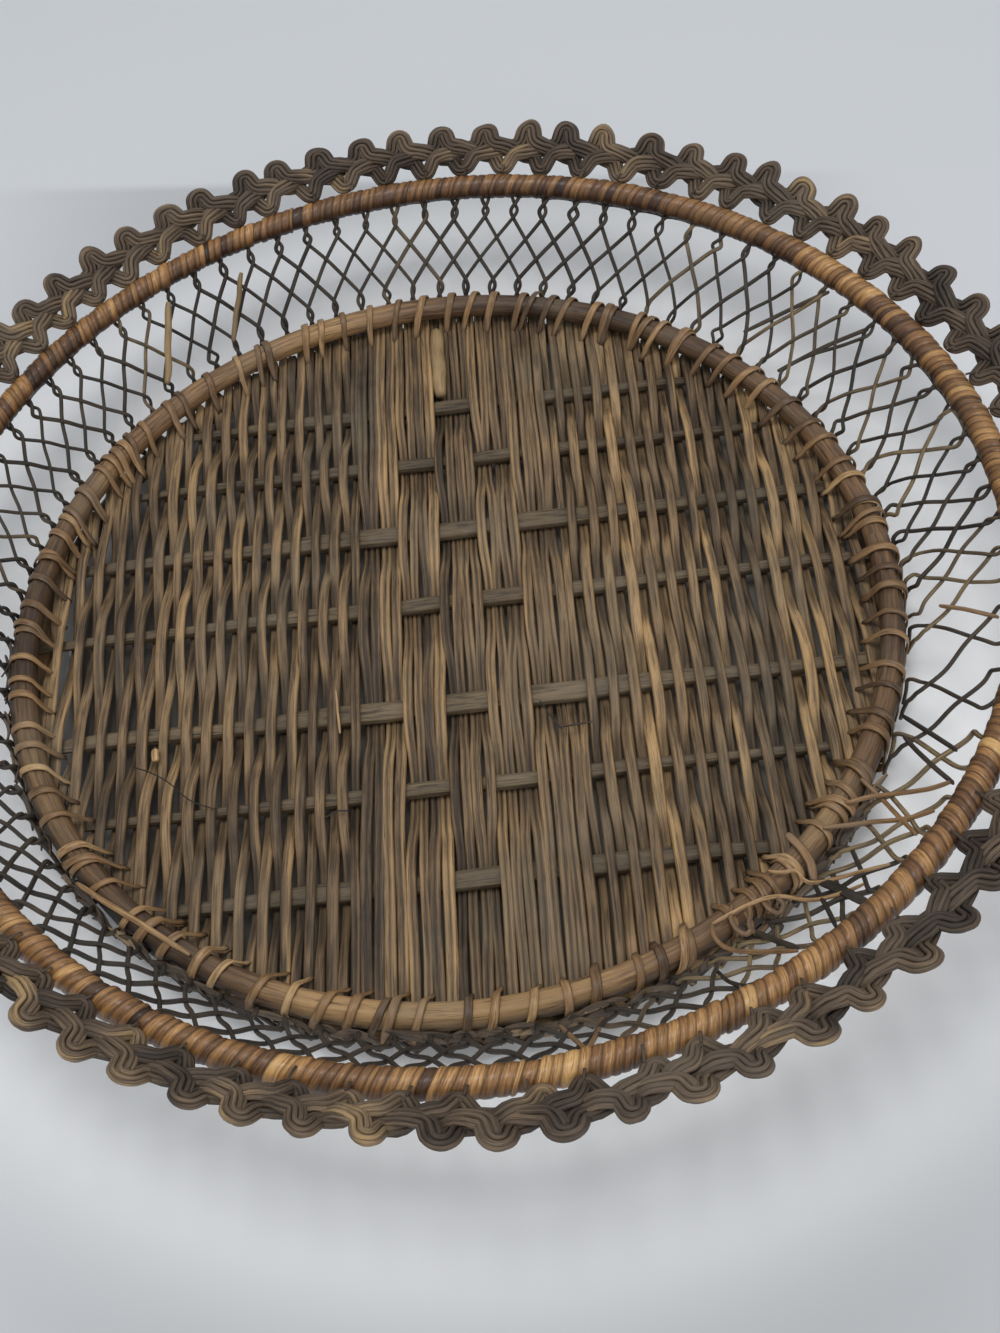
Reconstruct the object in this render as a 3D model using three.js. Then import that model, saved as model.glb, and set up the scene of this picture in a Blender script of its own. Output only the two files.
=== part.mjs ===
import * as THREE from 'three';
import { ParametricGeometry } from 'three/addons/geometries/ParametricGeometry.js';

// Woven tray basket, in millimetres: a round base of flat stakes and thin rods clamped between two
// hoops, an open lattice side, a cane-bound rim hoop and a plaited border that leans outward.

// Driving sizes of the whole basket
const rimHoopRadius = 200;
const baseHoopRadius = 165;
const rimRise = 34.7;
const clearance = 0.3;

// Hoops
const bottomHoopThickness = 8;
const baseHoopThickness = 9.5;
const rimHoopThickness = 11.4;
const rimGrooveDepth = 0.5;
const hoopSides = 8;
const hoopSteps = 60;
const rimRidgeCount = 40;

// Base weave
const weaveTurnDegrees = -3;
const stakeWidth = 7;
const stakeThickness = 4.2;
const stakeEndThickness = 2.2;
const stakeTaperLength = 10;
const weaverPairCount = 40;
const weaverGap = 0.7;
const weaverThickness = 2.2;
const weaveSideRoom = 0.85;
const hoopGrip = 1.5;
const edgeBand = 8.5;

// Where the stakes cross the middle of the base, the far stake first, in shares of the room in the hoop
const stakeRowShares = [0.705, 0.51, 0.277, 0.047, -0.252, -0.475, -0.708];

// Centre figure of the weave: the bands of rods that dive under each stake, the far stake first
const figureRows = ['C', 'BD', 'ACE', 'BD', 'ACE', 'BD', 'C'];
const figureBands = 'ABCDE';
const rodsPerBand = 4;

// Lashing round the base hoop
const caneWidth = 3;
const caneThickness = 0.8;
const lashingTurns = 20;

// Side lattice
const latticeCount = 48;
const latticeThickness = 1.6;
const latticeStrandWidth = 2;
const latticeTwistWidth = 3;
const latticeTwistLength = 5;
const latticeFootHeight = 3;
const latticeCrossingShares = [0.34, 0.67];

// Plaited border
const borderStrandCount = 3;
const borderWaves = 25;
const borderStepsPerWave = 8;
const borderReach = 27;
const borderLeanDegrees = 31.5;
const borderStrandWidth = 6;
const borderStrandThickness = 2.2;
const borderLift = 3;

// Mended places
const stubDiameter = 6.5;
const stubStakeGap = 2;
const stubHoopGap = 6.4;
const stubPlace = -3;
const mendStickDiameter = 3.2;
const mendStickFoot = 7;
const mendSticks = [
  { footDegrees: 130.2, headDegrees: 123.7, headGap: 4 },
  { footDegrees: 118.6, headDegrees: 113.3, headGap: 7 },
];
const stickSides = 8;

// Places of the stakes and the rods in the room inside the hoop
const lashingRoom = 2 * clearance + caneThickness;
const baseHoopInnerRadius = baseHoopRadius - baseHoopThickness / 2 - lashingRoom;
const stakeRows = stakeRowShares.map((share) => share * baseHoopInnerRadius);
const narrowestRow = Math.min(...stakeRows.slice(1).map((row, index) => stakeRows[index] - row));
const weaverPitch = (2 * (baseHoopInnerRadius - weaveSideRoom)) / (2 * weaverPairCount - 1);
const weaverWidth = weaverPitch - weaverGap;

// Levels from the floor up
const cornerLean = Math.PI / hoopSides;
const stakeLevel = bottomHoopThickness + clearance + stakeEndThickness / 2;
const weaverGripLevel = stakeLevel + stakeEndThickness / 2 + clearance + weaverThickness / 2;
const weaverRest = stakeThickness / 2 + clearance + weaverThickness / 2;
const weaverLift = weaverRest / (1 - stakeWidth / narrowestRow);
const weaverOverLevel = stakeLevel + weaverLift;
const weaverUnderLevel = stakeLevel - weaverLift;
const baseHoopLevel = weaverGripLevel + weaverThickness / 2 + lashingRoom + baseHoopThickness / 2;
const rimLevel = baseHoopLevel + rimRise;

// Radii from the middle out
const stakeThinRadius = baseHoopInnerRadius - edgeBand;
const weaveEndRadius = baseHoopRadius + hoopGrip;
const latticeFootRadius = baseHoopRadius + baseHoopThickness / 2 + lashingRoom + latticeThickness / 2;
const latticeReach = Math.hypot(rimHoopRadius - latticeFootRadius, rimLevel - baseHoopLevel);
const latticeLean = Math.atan2(rimLevel - baseHoopLevel, rimHoopRadius - latticeFootRadius);
const latticeTop = latticeReach - rimHoopThickness / 2 - clearance;

const up = new THREE.Vector3(0, 0, 1);

// A path whose section stays upright: its width lies level and its thickness stands on end.
// Each station holds a point, a level heading, and the share of the full thickness there.
class UprightPath extends THREE.Curve {
  constructor(stations) {
    super();
    this.stations = stations;
  }

  getPoint(share, target = new THREE.Vector3()) {
    const place = share * (this.stations.length - 1);
    const first = Math.min(Math.floor(place), this.stations.length - 2);
    return target.lerpVectors(this.stations[first].point, this.stations[first + 1].point, place - first);
  }

  getSpacedPoints() {
    return this.stations.map((station) => station.point);
  }

  computeFrenetFrames() {
    const tangents = this.stations.map((station) => station.heading);
    const normals = tangents.map((heading) => new THREE.Vector3().crossVectors(up, heading));
    const binormals = this.stations.map((station) => up.clone().multiplyScalar(station.thicknessShare));
    return { tangents, normals, binormals };
  }
}

function flatSection(width, thickness) {
  return new THREE.Shape([
    new THREE.Vector2(width / 2, -thickness / 2),
    new THREE.Vector2(width / 2, thickness / 2),
    new THREE.Vector2(-width / 2, thickness / 2),
    new THREE.Vector2(-width / 2, -thickness / 2),
  ]);
}

function extrudeUpright(stations, width, thickness) {
  return new THREE.ExtrudeGeometry(flatSection(width, thickness), {
    steps: stations.length - 1,
    extrudePath: new UprightPath(stations),
  });
}

function roundStick(start, end, diameter) {
  const section = new THREE.Shape();
  for (let corner = 0; corner < stickSides; corner += 1) {
    const angle = (corner / stickSides) * 2 * Math.PI;
    const point = new THREE.Vector2(Math.cos(angle), Math.sin(angle)).multiplyScalar(diameter / 2);
    if (corner === 0) section.moveTo(point.x, point.y);
    else section.lineTo(point.x, point.y);
  }
  return new THREE.ExtrudeGeometry(section, { steps: 1, extrudePath: new THREE.LineCurve3(start, end) });
}

// Round hoops: a many-sided section with a flat side down, turned about the upright axis
function hoop(radius, thickness, level) {
  const cornerRadius = thickness / 2 / Math.cos(cornerLean);
  const profile = [];
  for (let corner = 0; corner <= hoopSides; corner += 1) {
    const angle = -Math.PI / 2 + cornerLean * (2 * (corner % hoopSides) + 1);
    const x = radius + cornerRadius * Math.cos(angle);
    profile.push(new THREE.Vector2(x, cornerRadius * Math.sin(angle)));
  }
  const geometry = new THREE.LatheGeometry(profile, hoopSteps);
  geometry.rotateX(Math.PI / 2);
  geometry.translate(0, 0, level);
  return geometry;
}

// A tube that closes on itself: place(stepAlong, stepAround) gives each corner of its rings
function closedTube(stepsAlong, stepsAround, place) {
  const surface = (along, around, target) => {
    const stepAlong = Math.round(along * stepsAlong) % stepsAlong;
    const stepAround = Math.round(around * stepsAround) % stepsAround;
    target.copy(place(stepAlong, stepAround));
  };
  return new ParametricGeometry(surface, stepsAlong, stepsAround);
}

// A point by its turn about the basket's axis, its radius and its height
function ringPoint(turn, radius, height) {
  return new THREE.Vector3(radius * Math.cos(turn), radius * Math.sin(turn), height);
}

// Rim hoop: the rod with its close cane binding, which shows as ridges and grooves across it
function rimHoop() {
  const place = (stepAlong, stepAround) => {
    const turn = (stepAlong / (2 * rimRidgeCount)) * 2 * Math.PI;
    const angle = (stepAround / hoopSides) * 2 * Math.PI + cornerLean;
    const thickness = rimHoopThickness - (stepAlong % 2) * 2 * rimGrooveDepth;
    const reach = thickness / 2;
    return ringPoint(turn, rimHoopRadius + reach * Math.cos(angle), rimLevel + reach * Math.sin(angle));
  };
  return closedTube(2 * rimRidgeCount, hoopSides, place);
}

// Stakes: flat split rods across the base, thinned at both ends to pass between the hoops
function stakeStation(x, y, thicknessShare) {
  return {
    point: new THREE.Vector3(x, y, stakeLevel),
    heading: new THREE.Vector3(1, 0, 0),
    thicknessShare,
  };
}

function stake(y) {
  const outerEdge = Math.abs(y) + stakeWidth / 2;
  const end = Math.sqrt(weaveEndRadius ** 2 - outerEdge ** 2);
  const thin = Math.sqrt(stakeThinRadius ** 2 - outerEdge ** 2);
  const full = thin - stakeTaperLength;
  const endShare = stakeEndThickness / stakeThickness;
  const stations = [
    stakeStation(-end, y, endShare),
    stakeStation(-thin, y, endShare),
    stakeStation(-full, y, 1),
    stakeStation(full, y, 1),
    stakeStation(thin, y, endShare),
    stakeStation(end, y, endShare),
  ];
  return extrudeUpright(stations, stakeWidth, stakeThickness);
}

// Weavers: each is one long rod, bent back on itself under the hoop, that makes two rows of the weave
function passesUnder(rod, row) {
  const firstFigureRod = weaverPairCount - (figureBands.length * rodsPerBand) / 2;
  const band = Math.floor((rod - firstFigureRod) / rodsPerBand);
  if (band >= 0 && band < figureBands.length) return figureRows[row].includes(figureBands[band]);
  return (rod + row) % 2 === 1;
}

function rodPlace(rod) {
  return (rod - (2 * weaverPairCount - 1) / 2) * weaverPitch;
}

function weaverPoint(x, y, z) {
  return { point: new THREE.Vector3(x, y, z), thicknessShare: 1 };
}

// Stations of one rod from its near end to its far end. A rod that climbs to the hoop in less than
// steepRun stays level until it is clear of the stake that it dives under.
const steepRun = ((weaverGripLevel - weaverUnderLevel) * stakeWidth) / 2 / (weaverLift - weaverRest);

function rodStations(rod, endReach) {
  const x = rodPlace(rod);
  const edgeReach = Math.sqrt(Math.max(baseHoopInnerRadius ** 2 - x ** 2, 0));
  const stations = [];
  for (let row = stakeRows.length - 1; row >= 0; row -= 1) {
    const y = stakeRows[row];
    const toEdge = edgeReach - Math.abs(y);
    const halfRun = stakeWidth / 2 + clearance;
    const levelRun = Math.sign(y) * halfRun;
    if (toEdge > -halfRun && Math.hypot(x, y) > stakeThinRadius) {
      stations.push(weaverPoint(x, y - levelRun, weaverGripLevel));
    } else if (toEdge > 0) {
      const under = passesUnder(rod, row);
      const level = under ? weaverUnderLevel : weaverOverLevel;
      const needsLevelRun = under && toEdge < steepRun;
      if (needsLevelRun && y > 0) stations.push(weaverPoint(x, y, level));
      if (needsLevelRun) stations.push(weaverPoint(x, y + levelRun, level));
      if (!needsLevelRun || y <= 0) stations.push(weaverPoint(x, y, level));
    }
  }
  if (edgeReach > 0 && edgeReach < endReach) {
    stations.unshift(weaverPoint(x, -edgeReach, weaverGripLevel));
    stations.push(weaverPoint(x, edgeReach, weaverGripLevel));
  }
  stations.unshift(weaverPoint(x, -endReach, weaverGripLevel));
  stations.push(weaverPoint(x, endReach, weaverGripLevel));
  return stations.filter((station, index) => !liesOnLevelRun(stations, index));
}

function liesOnLevelRun(stations, index) {
  if (index === 0 || index === stations.length - 1) return false;
  const height = stations[index].point.z;
  return stations[index - 1].point.z === height && stations[index + 1].point.z === height;
}

function weaver(pair) {
  const first = 2 * pair;
  const second = first + 1;
  const outermost = Math.max(Math.abs(rodPlace(first)), Math.abs(rodPlace(second)));
  const endReach = Math.sqrt(weaveEndRadius ** 2 - outermost ** 2);
  const away = pair % 2 === 0 ? 1 : -1;
  const out = rodStations(first, endReach);
  const back = rodStations(second, endReach);
  if (away > 0) back.reverse();
  else out.reverse();
  out.forEach((station) => {
    station.heading = new THREE.Vector3(0, away, 0);
  });
  back.forEach((station) => {
    station.heading = new THREE.Vector3(0, -away, 0);
  });
  const bendPlace = (rodPlace(first) + rodPlace(second)) / 2;
  const bend = weaverPoint(bendPlace, away * (endReach + weaverPitch / 2), weaverGripLevel);
  bend.heading = new THREE.Vector3(1, 0, 0);
  return extrudeUpright([...out, bend, ...back], weaverWidth, weaverThickness);
}

// Base lashing: one unbroken strip of cane, wound slantwise round the base hoop, a step to each side of it
const lashingSteps = lashingTurns * hoopSides;
const lashingRadius = baseHoopThickness / 2 / Math.cos(cornerLean) + clearance + caneThickness / 2;
const lashingAdvance = (2 * Math.PI * baseHoopRadius) / lashingTurns;
const lashingSlant = Math.atan2(lashingAdvance, 2 * Math.PI * lashingRadius);
const lashingWidthAlongHoop = caneWidth / Math.cos(lashingSlant);

function lashingPoint(step, outOffset, alongOffset) {
  const turn = (step / lashingSteps) * 2 * Math.PI;
  const angle = cornerLean * (2 * step + 1);
  const reach = lashingRadius + outOffset;
  const along = new THREE.Vector3(Math.sin(turn), -Math.cos(turn), 0);
  return ringPoint(turn, baseHoopRadius + reach * Math.cos(angle), baseHoopLevel + reach * Math.sin(angle))
    .addScaledVector(along, alongOffset);
}

// The four corners of a flat strip, in order round it: which side of its middle, and in or out
const stripCorners = [
  { side: -1, out: 1 },
  { side: 1, out: 1 },
  { side: 1, out: -1 },
  { side: -1, out: -1 },
];

function baseLashing() {
  const place = (step, corner) => {
    const { side, out } = stripCorners[corner];
    return lashingPoint(step, (out * caneThickness) / 2, (side * lashingWidthAlongHoop) / 2);
  };
  return closedTube(lashingSteps, stripCorners.length, place);
}

// The lashing's least gap to itself, measured between points of its centre line half a turn or more apart
function leastLashingGap() {
  const apart = hoopSides / 2;
  const centres = Array.from({ length: lashingSteps }, (unused, step) => lashingPoint(step, 0, 0));
  let least = Infinity;
  centres.forEach((point, step) => {
    for (let other = step + apart; other < lashingSteps; other += 1) {
      if (step + lashingSteps - other >= apart) least = Math.min(least, point.distanceTo(centres[other]));
    }
  });
  return least - caneWidth;
}

// Side lattice: one net of crossed strands on a surface that stands outside the hoops and then leans
// out to the rim hoop. rise is measured along that surface from the base hoop's level.
function latticePoint(turn, rise, outOffset) {
  const lean = rise > 0 ? latticeLean : rise < 0 ? Math.PI / 2 : (latticeLean + Math.PI / 2) / 2;
  const along = Math.max(rise, 0);
  const below = Math.min(rise, 0);
  const radius = latticeFootRadius + along * Math.cos(latticeLean) + outOffset * Math.sin(lean);
  const height = baseHoopLevel + along * Math.sin(latticeLean) + below - outOffset * Math.cos(lean);
  return ringPoint(turn, radius, height);
}

function sideLattice() {
  const pitch = (2 * Math.PI) / latticeCount;
  const radiusAt = (rise) => latticeFootRadius + Math.max(rise, 0) * Math.cos(latticeLean);
  const highRise = latticeTop - latticeTwistLength;
  const crossRise = highRise * (latticeCrossingShares[1] - latticeCrossingShares[0]);
  const strandLean = Math.atan2((radiusAt(highRise / 2) * pitch) / 2, crossRise);
  const half = latticeStrandWidth / 2;
  const halfTwist = latticeTwistWidth / 2;
  const cornerRise = half / Math.sin(strandLean);
  const cornerSide = half / Math.cos(strandLean);
  const shoulder = (half - halfTwist * Math.cos(strandLean)) / Math.sin(strandLean);

  const corners = [];
  const corner = (place, rise, side) => {
    const wrapped = ((place % latticeCount) + latticeCount) % latticeCount;
    corners.push({ turn: wrapped * pitch + side / radiusAt(rise), rise });
    return corners.length - 1;
  };
  const crossing = (place, rise) => ({
    top: corner(place, rise + cornerRise, 0),
    bottom: corner(place, rise - cornerRise, 0),
    left: corner(place, rise, -cornerSide),
    right: corner(place, rise, cornerSide),
  });

  const high = [];
  const upper = [];
  const lower = [];
  const low = [];
  for (let place = 0; place < latticeCount; place += 1) {
    high.push({
      bottom: corner(place, highRise - cornerRise, 0),
      left: corner(place, highRise + shoulder, -halfTwist),
      right: corner(place, highRise + shoulder, halfTwist),
      endLeft: corner(place, latticeTop, -halfTwist),
      endRight: corner(place, latticeTop, halfTwist),
    });
    upper.push(crossing(place + 0.5, highRise * latticeCrossingShares[1]));
    lower.push(crossing(place, highRise * latticeCrossingShares[0]));
    low.push({
      top: corner(place + 0.5, cornerRise + shoulder, 0),
      left: corner(place + 0.5, 0, -halfTwist),
      right: corner(place + 0.5, 0, halfTwist),
      endLeft: corner(place + 0.5, latticeFootHeight - baseHoopLevel, -halfTwist),
      endRight: corner(place + 0.5, latticeFootHeight - baseHoopLevel, halfTwist),
    });
  }

  const faces = [];
  for (let place = 0; place < latticeCount; place += 1) {
    const nextPlace = (place + 1) % latticeCount;
    const [top, topNext] = [high[place], high[nextPlace]];
    const [cross, crossLow, crossLowNext] = [upper[place], lower[place], lower[nextPlace]];
    const [foot, footBefore] = [low[place], low[(place + latticeCount - 1) % latticeCount]];
    faces.push([top.left, top.right, top.endRight, top.endLeft]);
    faces.push([top.left, top.bottom, top.right]);
    faces.push([top.bottom, cross.left, cross.top, top.right]);
    faces.push([topNext.bottom, topNext.left, cross.top, cross.right]);
    faces.push([cross.left, cross.bottom, cross.right, cross.top]);
    faces.push([cross.left, crossLow.top, crossLow.right, cross.bottom]);
    faces.push([cross.bottom, crossLowNext.left, crossLowNext.top, cross.right]);
    faces.push([crossLow.left, crossLow.bottom, crossLow.right, crossLow.top]);
    faces.push([crossLow.bottom, foot.left, foot.top, crossLow.right]);
    faces.push([footBefore.top, footBefore.right, crossLow.bottom, crossLow.left]);
    faces.push([foot.left, foot.right, foot.top]);
    faces.push([foot.endLeft, foot.endRight, foot.right, foot.left]);
  }
  return thickenNet(corners, faces);
}

// Gives a net of faces its thickness: an outer and an inner copy, and a wall along every open edge
function thickenNet(corners, faces) {
  const place = (corner, offset) => latticePoint(corner.turn, corner.rise, offset).toArray();
  const outer = corners.map((corner) => place(corner, latticeThickness / 2));
  const inner = corners.map((corner) => place(corner, -latticeThickness / 2));
  const count = corners.length;
  const edges = new Set();
  faces.forEach((face) => {
    face.forEach((from, index) => edges.add(`${from} ${face[(index + 1) % face.length]}`));
  });
  const triangles = [];
  faces.forEach((face) => {
    for (let index = 1; index < face.length - 1; index += 1) {
      triangles.push(face[0], face[index], face[index + 1]);
      triangles.push(face[0] + count, face[index + 1] + count, face[index] + count);
    }
    face.forEach((from, index) => {
      const to = face[(index + 1) % face.length];
      if (edges.has(`${to} ${from}`)) return;
      triangles.push(to, from, from + count);
      triangles.push(to, from + count, to + count);
    });
  });
  const geometry = new THREE.BufferGeometry();
  geometry.setAttribute('position', new THREE.Float32BufferAttribute([...outer, ...inner].flat(), 3));
  geometry.setIndex(triangles);
  return geometry;
}

// Border: three flat strands, plaited in a band that leans outward from the rim hoop. Each swings
// from side to side in the band, and rises over one neighbour and dives under the other.
const borderLean = THREE.MathUtils.degToRad(borderLeanDegrees);
const borderInnerEdge = rimHoopThickness / 2 + clearance;
const borderSwing = (borderReach - borderInnerEdge - borderStrandWidth) / 2;
const borderMiddle = (borderReach + borderInnerEdge) / 2;

function borderCentre(strand, step) {
  const phase = (step / borderStepsPerWave) * 2 * Math.PI;
  const turn = (phase - (strand / borderStrandCount) * 2 * Math.PI) / borderWaves;
  const out = borderMiddle + borderSwing * Math.sin(phase);
  const lift = borderLift * Math.sin(2 * phase);
  const radius = rimHoopRadius + out * Math.cos(borderLean) - lift * Math.sin(borderLean);
  const height = rimLevel + out * Math.sin(borderLean) + lift * Math.cos(borderLean);
  return { point: ringPoint(turn, radius, height), outward: ringPoint(turn, -Math.sin(borderLean), Math.cos(borderLean)) };
}

function borderStrand(strand) {
  const steps = borderWaves * borderStepsPerWave;
  const place = (step, corner) => {
    const { side, out } = stripCorners[corner];
    const { point, outward } = borderCentre(strand, step);
    const heading = borderCentre(strand, step + 1).point.sub(borderCentre(strand, step - 1).point);
    const across = new THREE.Vector3().crossVectors(outward, heading).normalize();
    point.addScaledVector(across, (side * borderStrandWidth) / 2);
    return point.addScaledVector(outward, (out * borderStrandThickness) / 2);
  };
  return closedTube(steps, stripCorners.length, place);
}

// Mended places: a stub of a thick rod that lies along the rising rods at the far side of the weave, and
// two sticks that lean on the lattice
function rodStub() {
  const firstStake = stakeRows[0];
  const climb = (weaverGripLevel - weaverUnderLevel) / (baseHoopInnerRadius - firstStake);
  const seat = weaverUnderLevel + weaverThickness / 2 + clearance + stubDiameter / 2;
  const nearEnd = firstStake + stakeWidth / 2 + stubStakeGap;
  const farEnd = baseHoopInnerRadius - stubHoopGap;
  const near = new THREE.Vector3(stubPlace, nearEnd, seat + climb * (nearEnd - firstStake));
  const far = new THREE.Vector3(stubPlace, farEnd, seat + climb * (farEnd - firstStake));
  return roundStick(near, far, stubDiameter);
}

function mendStick({ footDegrees, headDegrees, headGap }) {
  const inset = -(latticeThickness / 2 + clearance + mendStickDiameter / 2);
  const foot = latticePoint(THREE.MathUtils.degToRad(footDegrees), mendStickFoot, inset);
  const head = latticePoint(THREE.MathUtils.degToRad(headDegrees), latticeTop - headGap, inset);
  return roundStick(foot, head, mendStickDiameter);
}

// Finishes
const finish = (color, roughness) => new THREE.MeshStandardMaterial({ color, roughness, metalness: 0 });
const stakeWood = () => finish(0x5d4a36, 0.75);
const weaverWood = () => finish(0x6b543b, 0.7);
const hoopWood = () => finish(0x6a4426, 0.55);
const caneStrip = () => finish(0x8a5a30, 0.5);
const darkReed = () => finish(0x3a3029, 0.7);
const paleStick = () => finish(0xa5794c, 0.65);

// The basket
const basket = new THREE.Group();

function addPiece(parent, name, geometry, material) {
  const mesh = new THREE.Mesh(geometry, material);
  mesh.name = name;
  parent.add(mesh);
}

const weave = new THREE.Group();
weave.rotation.z = THREE.MathUtils.degToRad(weaveTurnDegrees);
basket.add(weave);

stakeRows.forEach((row, index) => {
  addPiece(weave, `stake_${index + 1}`, stake(row), stakeWood());
});
for (let pair = 0; pair < weaverPairCount; pair += 1) {
  addPiece(weave, `weaver_${String(pair + 1).padStart(2, '0')}`, weaver(pair), weaverWood());
}
addPiece(weave, 'center_rod_stub', rodStub(), paleStick());

addPiece(basket, 'bottom_hoop', hoop(baseHoopRadius, bottomHoopThickness, bottomHoopThickness / 2), hoopWood());
addPiece(basket, 'base_hoop', hoop(baseHoopRadius, baseHoopThickness, baseHoopLevel), hoopWood());
addPiece(basket, 'base_lashing', baseLashing(), caneStrip());
addPiece(basket, 'side_lattice', sideLattice(), darkReed());
addPiece(basket, 'rim_hoop', rimHoop(), caneStrip());
for (let strand = 0; strand < borderStrandCount; strand += 1) {
  addPiece(basket, `border_strand_${strand + 1}`, borderStrand(strand), darkReed());
}
mendSticks.forEach((place, index) => {
  addPiece(basket, `mend_stick_${index + 1}`, mendStick(place), paleStick());
});

console.log(`base_lashing: least gap to itself ${leastLashingGap().toFixed(1)} mm`);

export default basket;
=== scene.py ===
import bpy
import numpy as np
from mathutils import Matrix, Vector


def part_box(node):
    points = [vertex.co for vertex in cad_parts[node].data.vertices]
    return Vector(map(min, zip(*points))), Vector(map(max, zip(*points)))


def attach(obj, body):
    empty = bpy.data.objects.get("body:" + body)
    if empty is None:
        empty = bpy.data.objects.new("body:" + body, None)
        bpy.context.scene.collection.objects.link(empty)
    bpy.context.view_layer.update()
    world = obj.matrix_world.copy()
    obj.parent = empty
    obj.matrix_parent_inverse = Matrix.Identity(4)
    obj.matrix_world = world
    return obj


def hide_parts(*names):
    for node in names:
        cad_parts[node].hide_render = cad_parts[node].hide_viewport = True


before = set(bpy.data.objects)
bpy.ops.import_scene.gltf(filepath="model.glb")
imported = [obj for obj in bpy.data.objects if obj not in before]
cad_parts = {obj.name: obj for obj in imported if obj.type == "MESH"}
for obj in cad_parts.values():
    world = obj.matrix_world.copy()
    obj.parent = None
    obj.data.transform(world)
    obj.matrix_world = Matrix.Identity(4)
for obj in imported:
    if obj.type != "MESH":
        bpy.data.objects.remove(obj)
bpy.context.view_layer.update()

# The looks of a woven tray basket: a base of stakes and rods, lashed between two hoops, an open lattice
# side of twisted reeds, a cane-bound rim hoop and a plaited border. Lengths are in metres.
mm = 0.001
full_turn = 2 * np.pi


# Sizes taken from the frame
def ring_sizes(node):
    """Radius, level and thickness of a round hoop, from its box: it is as thick as it is high."""
    low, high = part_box(node)
    thickness = high.z - low.z
    return high.x - thickness / 2, (low.z + high.z) / 2, thickness


rim_radius, rim_level, rim_thickness = ring_sizes("rim_hoop")
base_radius, base_level, base_thickness = ring_sizes("base_hoop")
bottom_radius, bottom_level, bottom_thickness = ring_sizes("bottom_hoop")
stake_nodes = sorted(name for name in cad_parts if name.startswith("stake_"))
weaver_nodes = sorted(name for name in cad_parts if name.startswith("weaver_"))


def box_middle(node):
    low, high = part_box(node)
    return np.array((low + high) / 2)


weave_turn = np.radians(-3.0)
stake_rows = np.array([box_middle(name)[1] / np.cos(weave_turn) for name in stake_nodes])
stake_level = box_middle(stake_nodes[0])[2]
middle_weavers = [weaver_nodes[len(weaver_nodes) // 2 - 1], weaver_nodes[len(weaver_nodes) // 2]]
rod_pitch = np.ptp([box_middle(name)[0] for name in middle_weavers]) / 2 / np.cos(weave_turn)
rod_count = 2 * len(weaver_nodes)


# Camera, where the photograph was taken from
def aim_camera():
    """A camera on a line that rises at its elevation from the middle of the base hoop, rolled, then
    shifted sideways and down in its own plane."""
    elevation, roll = np.radians(55.525), np.radians(-8.464)
    distance, aside, above = 0.5624, 0.0152, -0.02586
    back = Vector((0, -np.cos(elevation), np.sin(elevation)))
    level_up = back.cross(Vector((1, 0, 0)))
    right = Vector((np.cos(roll), 0, 0)) + level_up * float(np.sin(roll))
    up = Vector((-np.sin(roll), 0, 0)) + level_up * float(np.cos(roll))
    camera = bpy.data.objects.new("camera", bpy.data.cameras.new("camera"))
    camera.data.sensor_width = 36
    camera.data.lens = 39.627
    camera.data.clip_start = 0.01
    place = back * distance + right * aside + up * above + Vector((0, 0, base_level))
    turned = Matrix((right, up, back)).transposed().to_4x4()
    camera.matrix_world = Matrix.Translation(place) @ turned
    bpy.context.collection.objects.link(camera)
    bpy.context.scene.camera = camera


# Finishes
class Field:
    """A number or colour that varies over a surface. Arithmetic on it adds nodes to its finish."""

    def __init__(self, finish, socket):
        self.finish = finish
        self.socket = socket

    def __add__(self, other):
        return self.finish.maths("ADD", self, other)

    def __radd__(self, other):
        return self.finish.maths("ADD", other, self)

    def __sub__(self, other):
        return self.finish.maths("SUBTRACT", self, other)

    def __rsub__(self, other):
        return self.finish.maths("SUBTRACT", other, self)

    def __mul__(self, other):
        return self.finish.maths("MULTIPLY", self, other)

    def __rmul__(self, other):
        return self.finish.maths("MULTIPLY", other, self)

    def __truediv__(self, other):
        return self.finish.maths("DIVIDE", self, other)

    def __rtruediv__(self, other):
        return self.finish.maths("DIVIDE", other, self)


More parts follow.
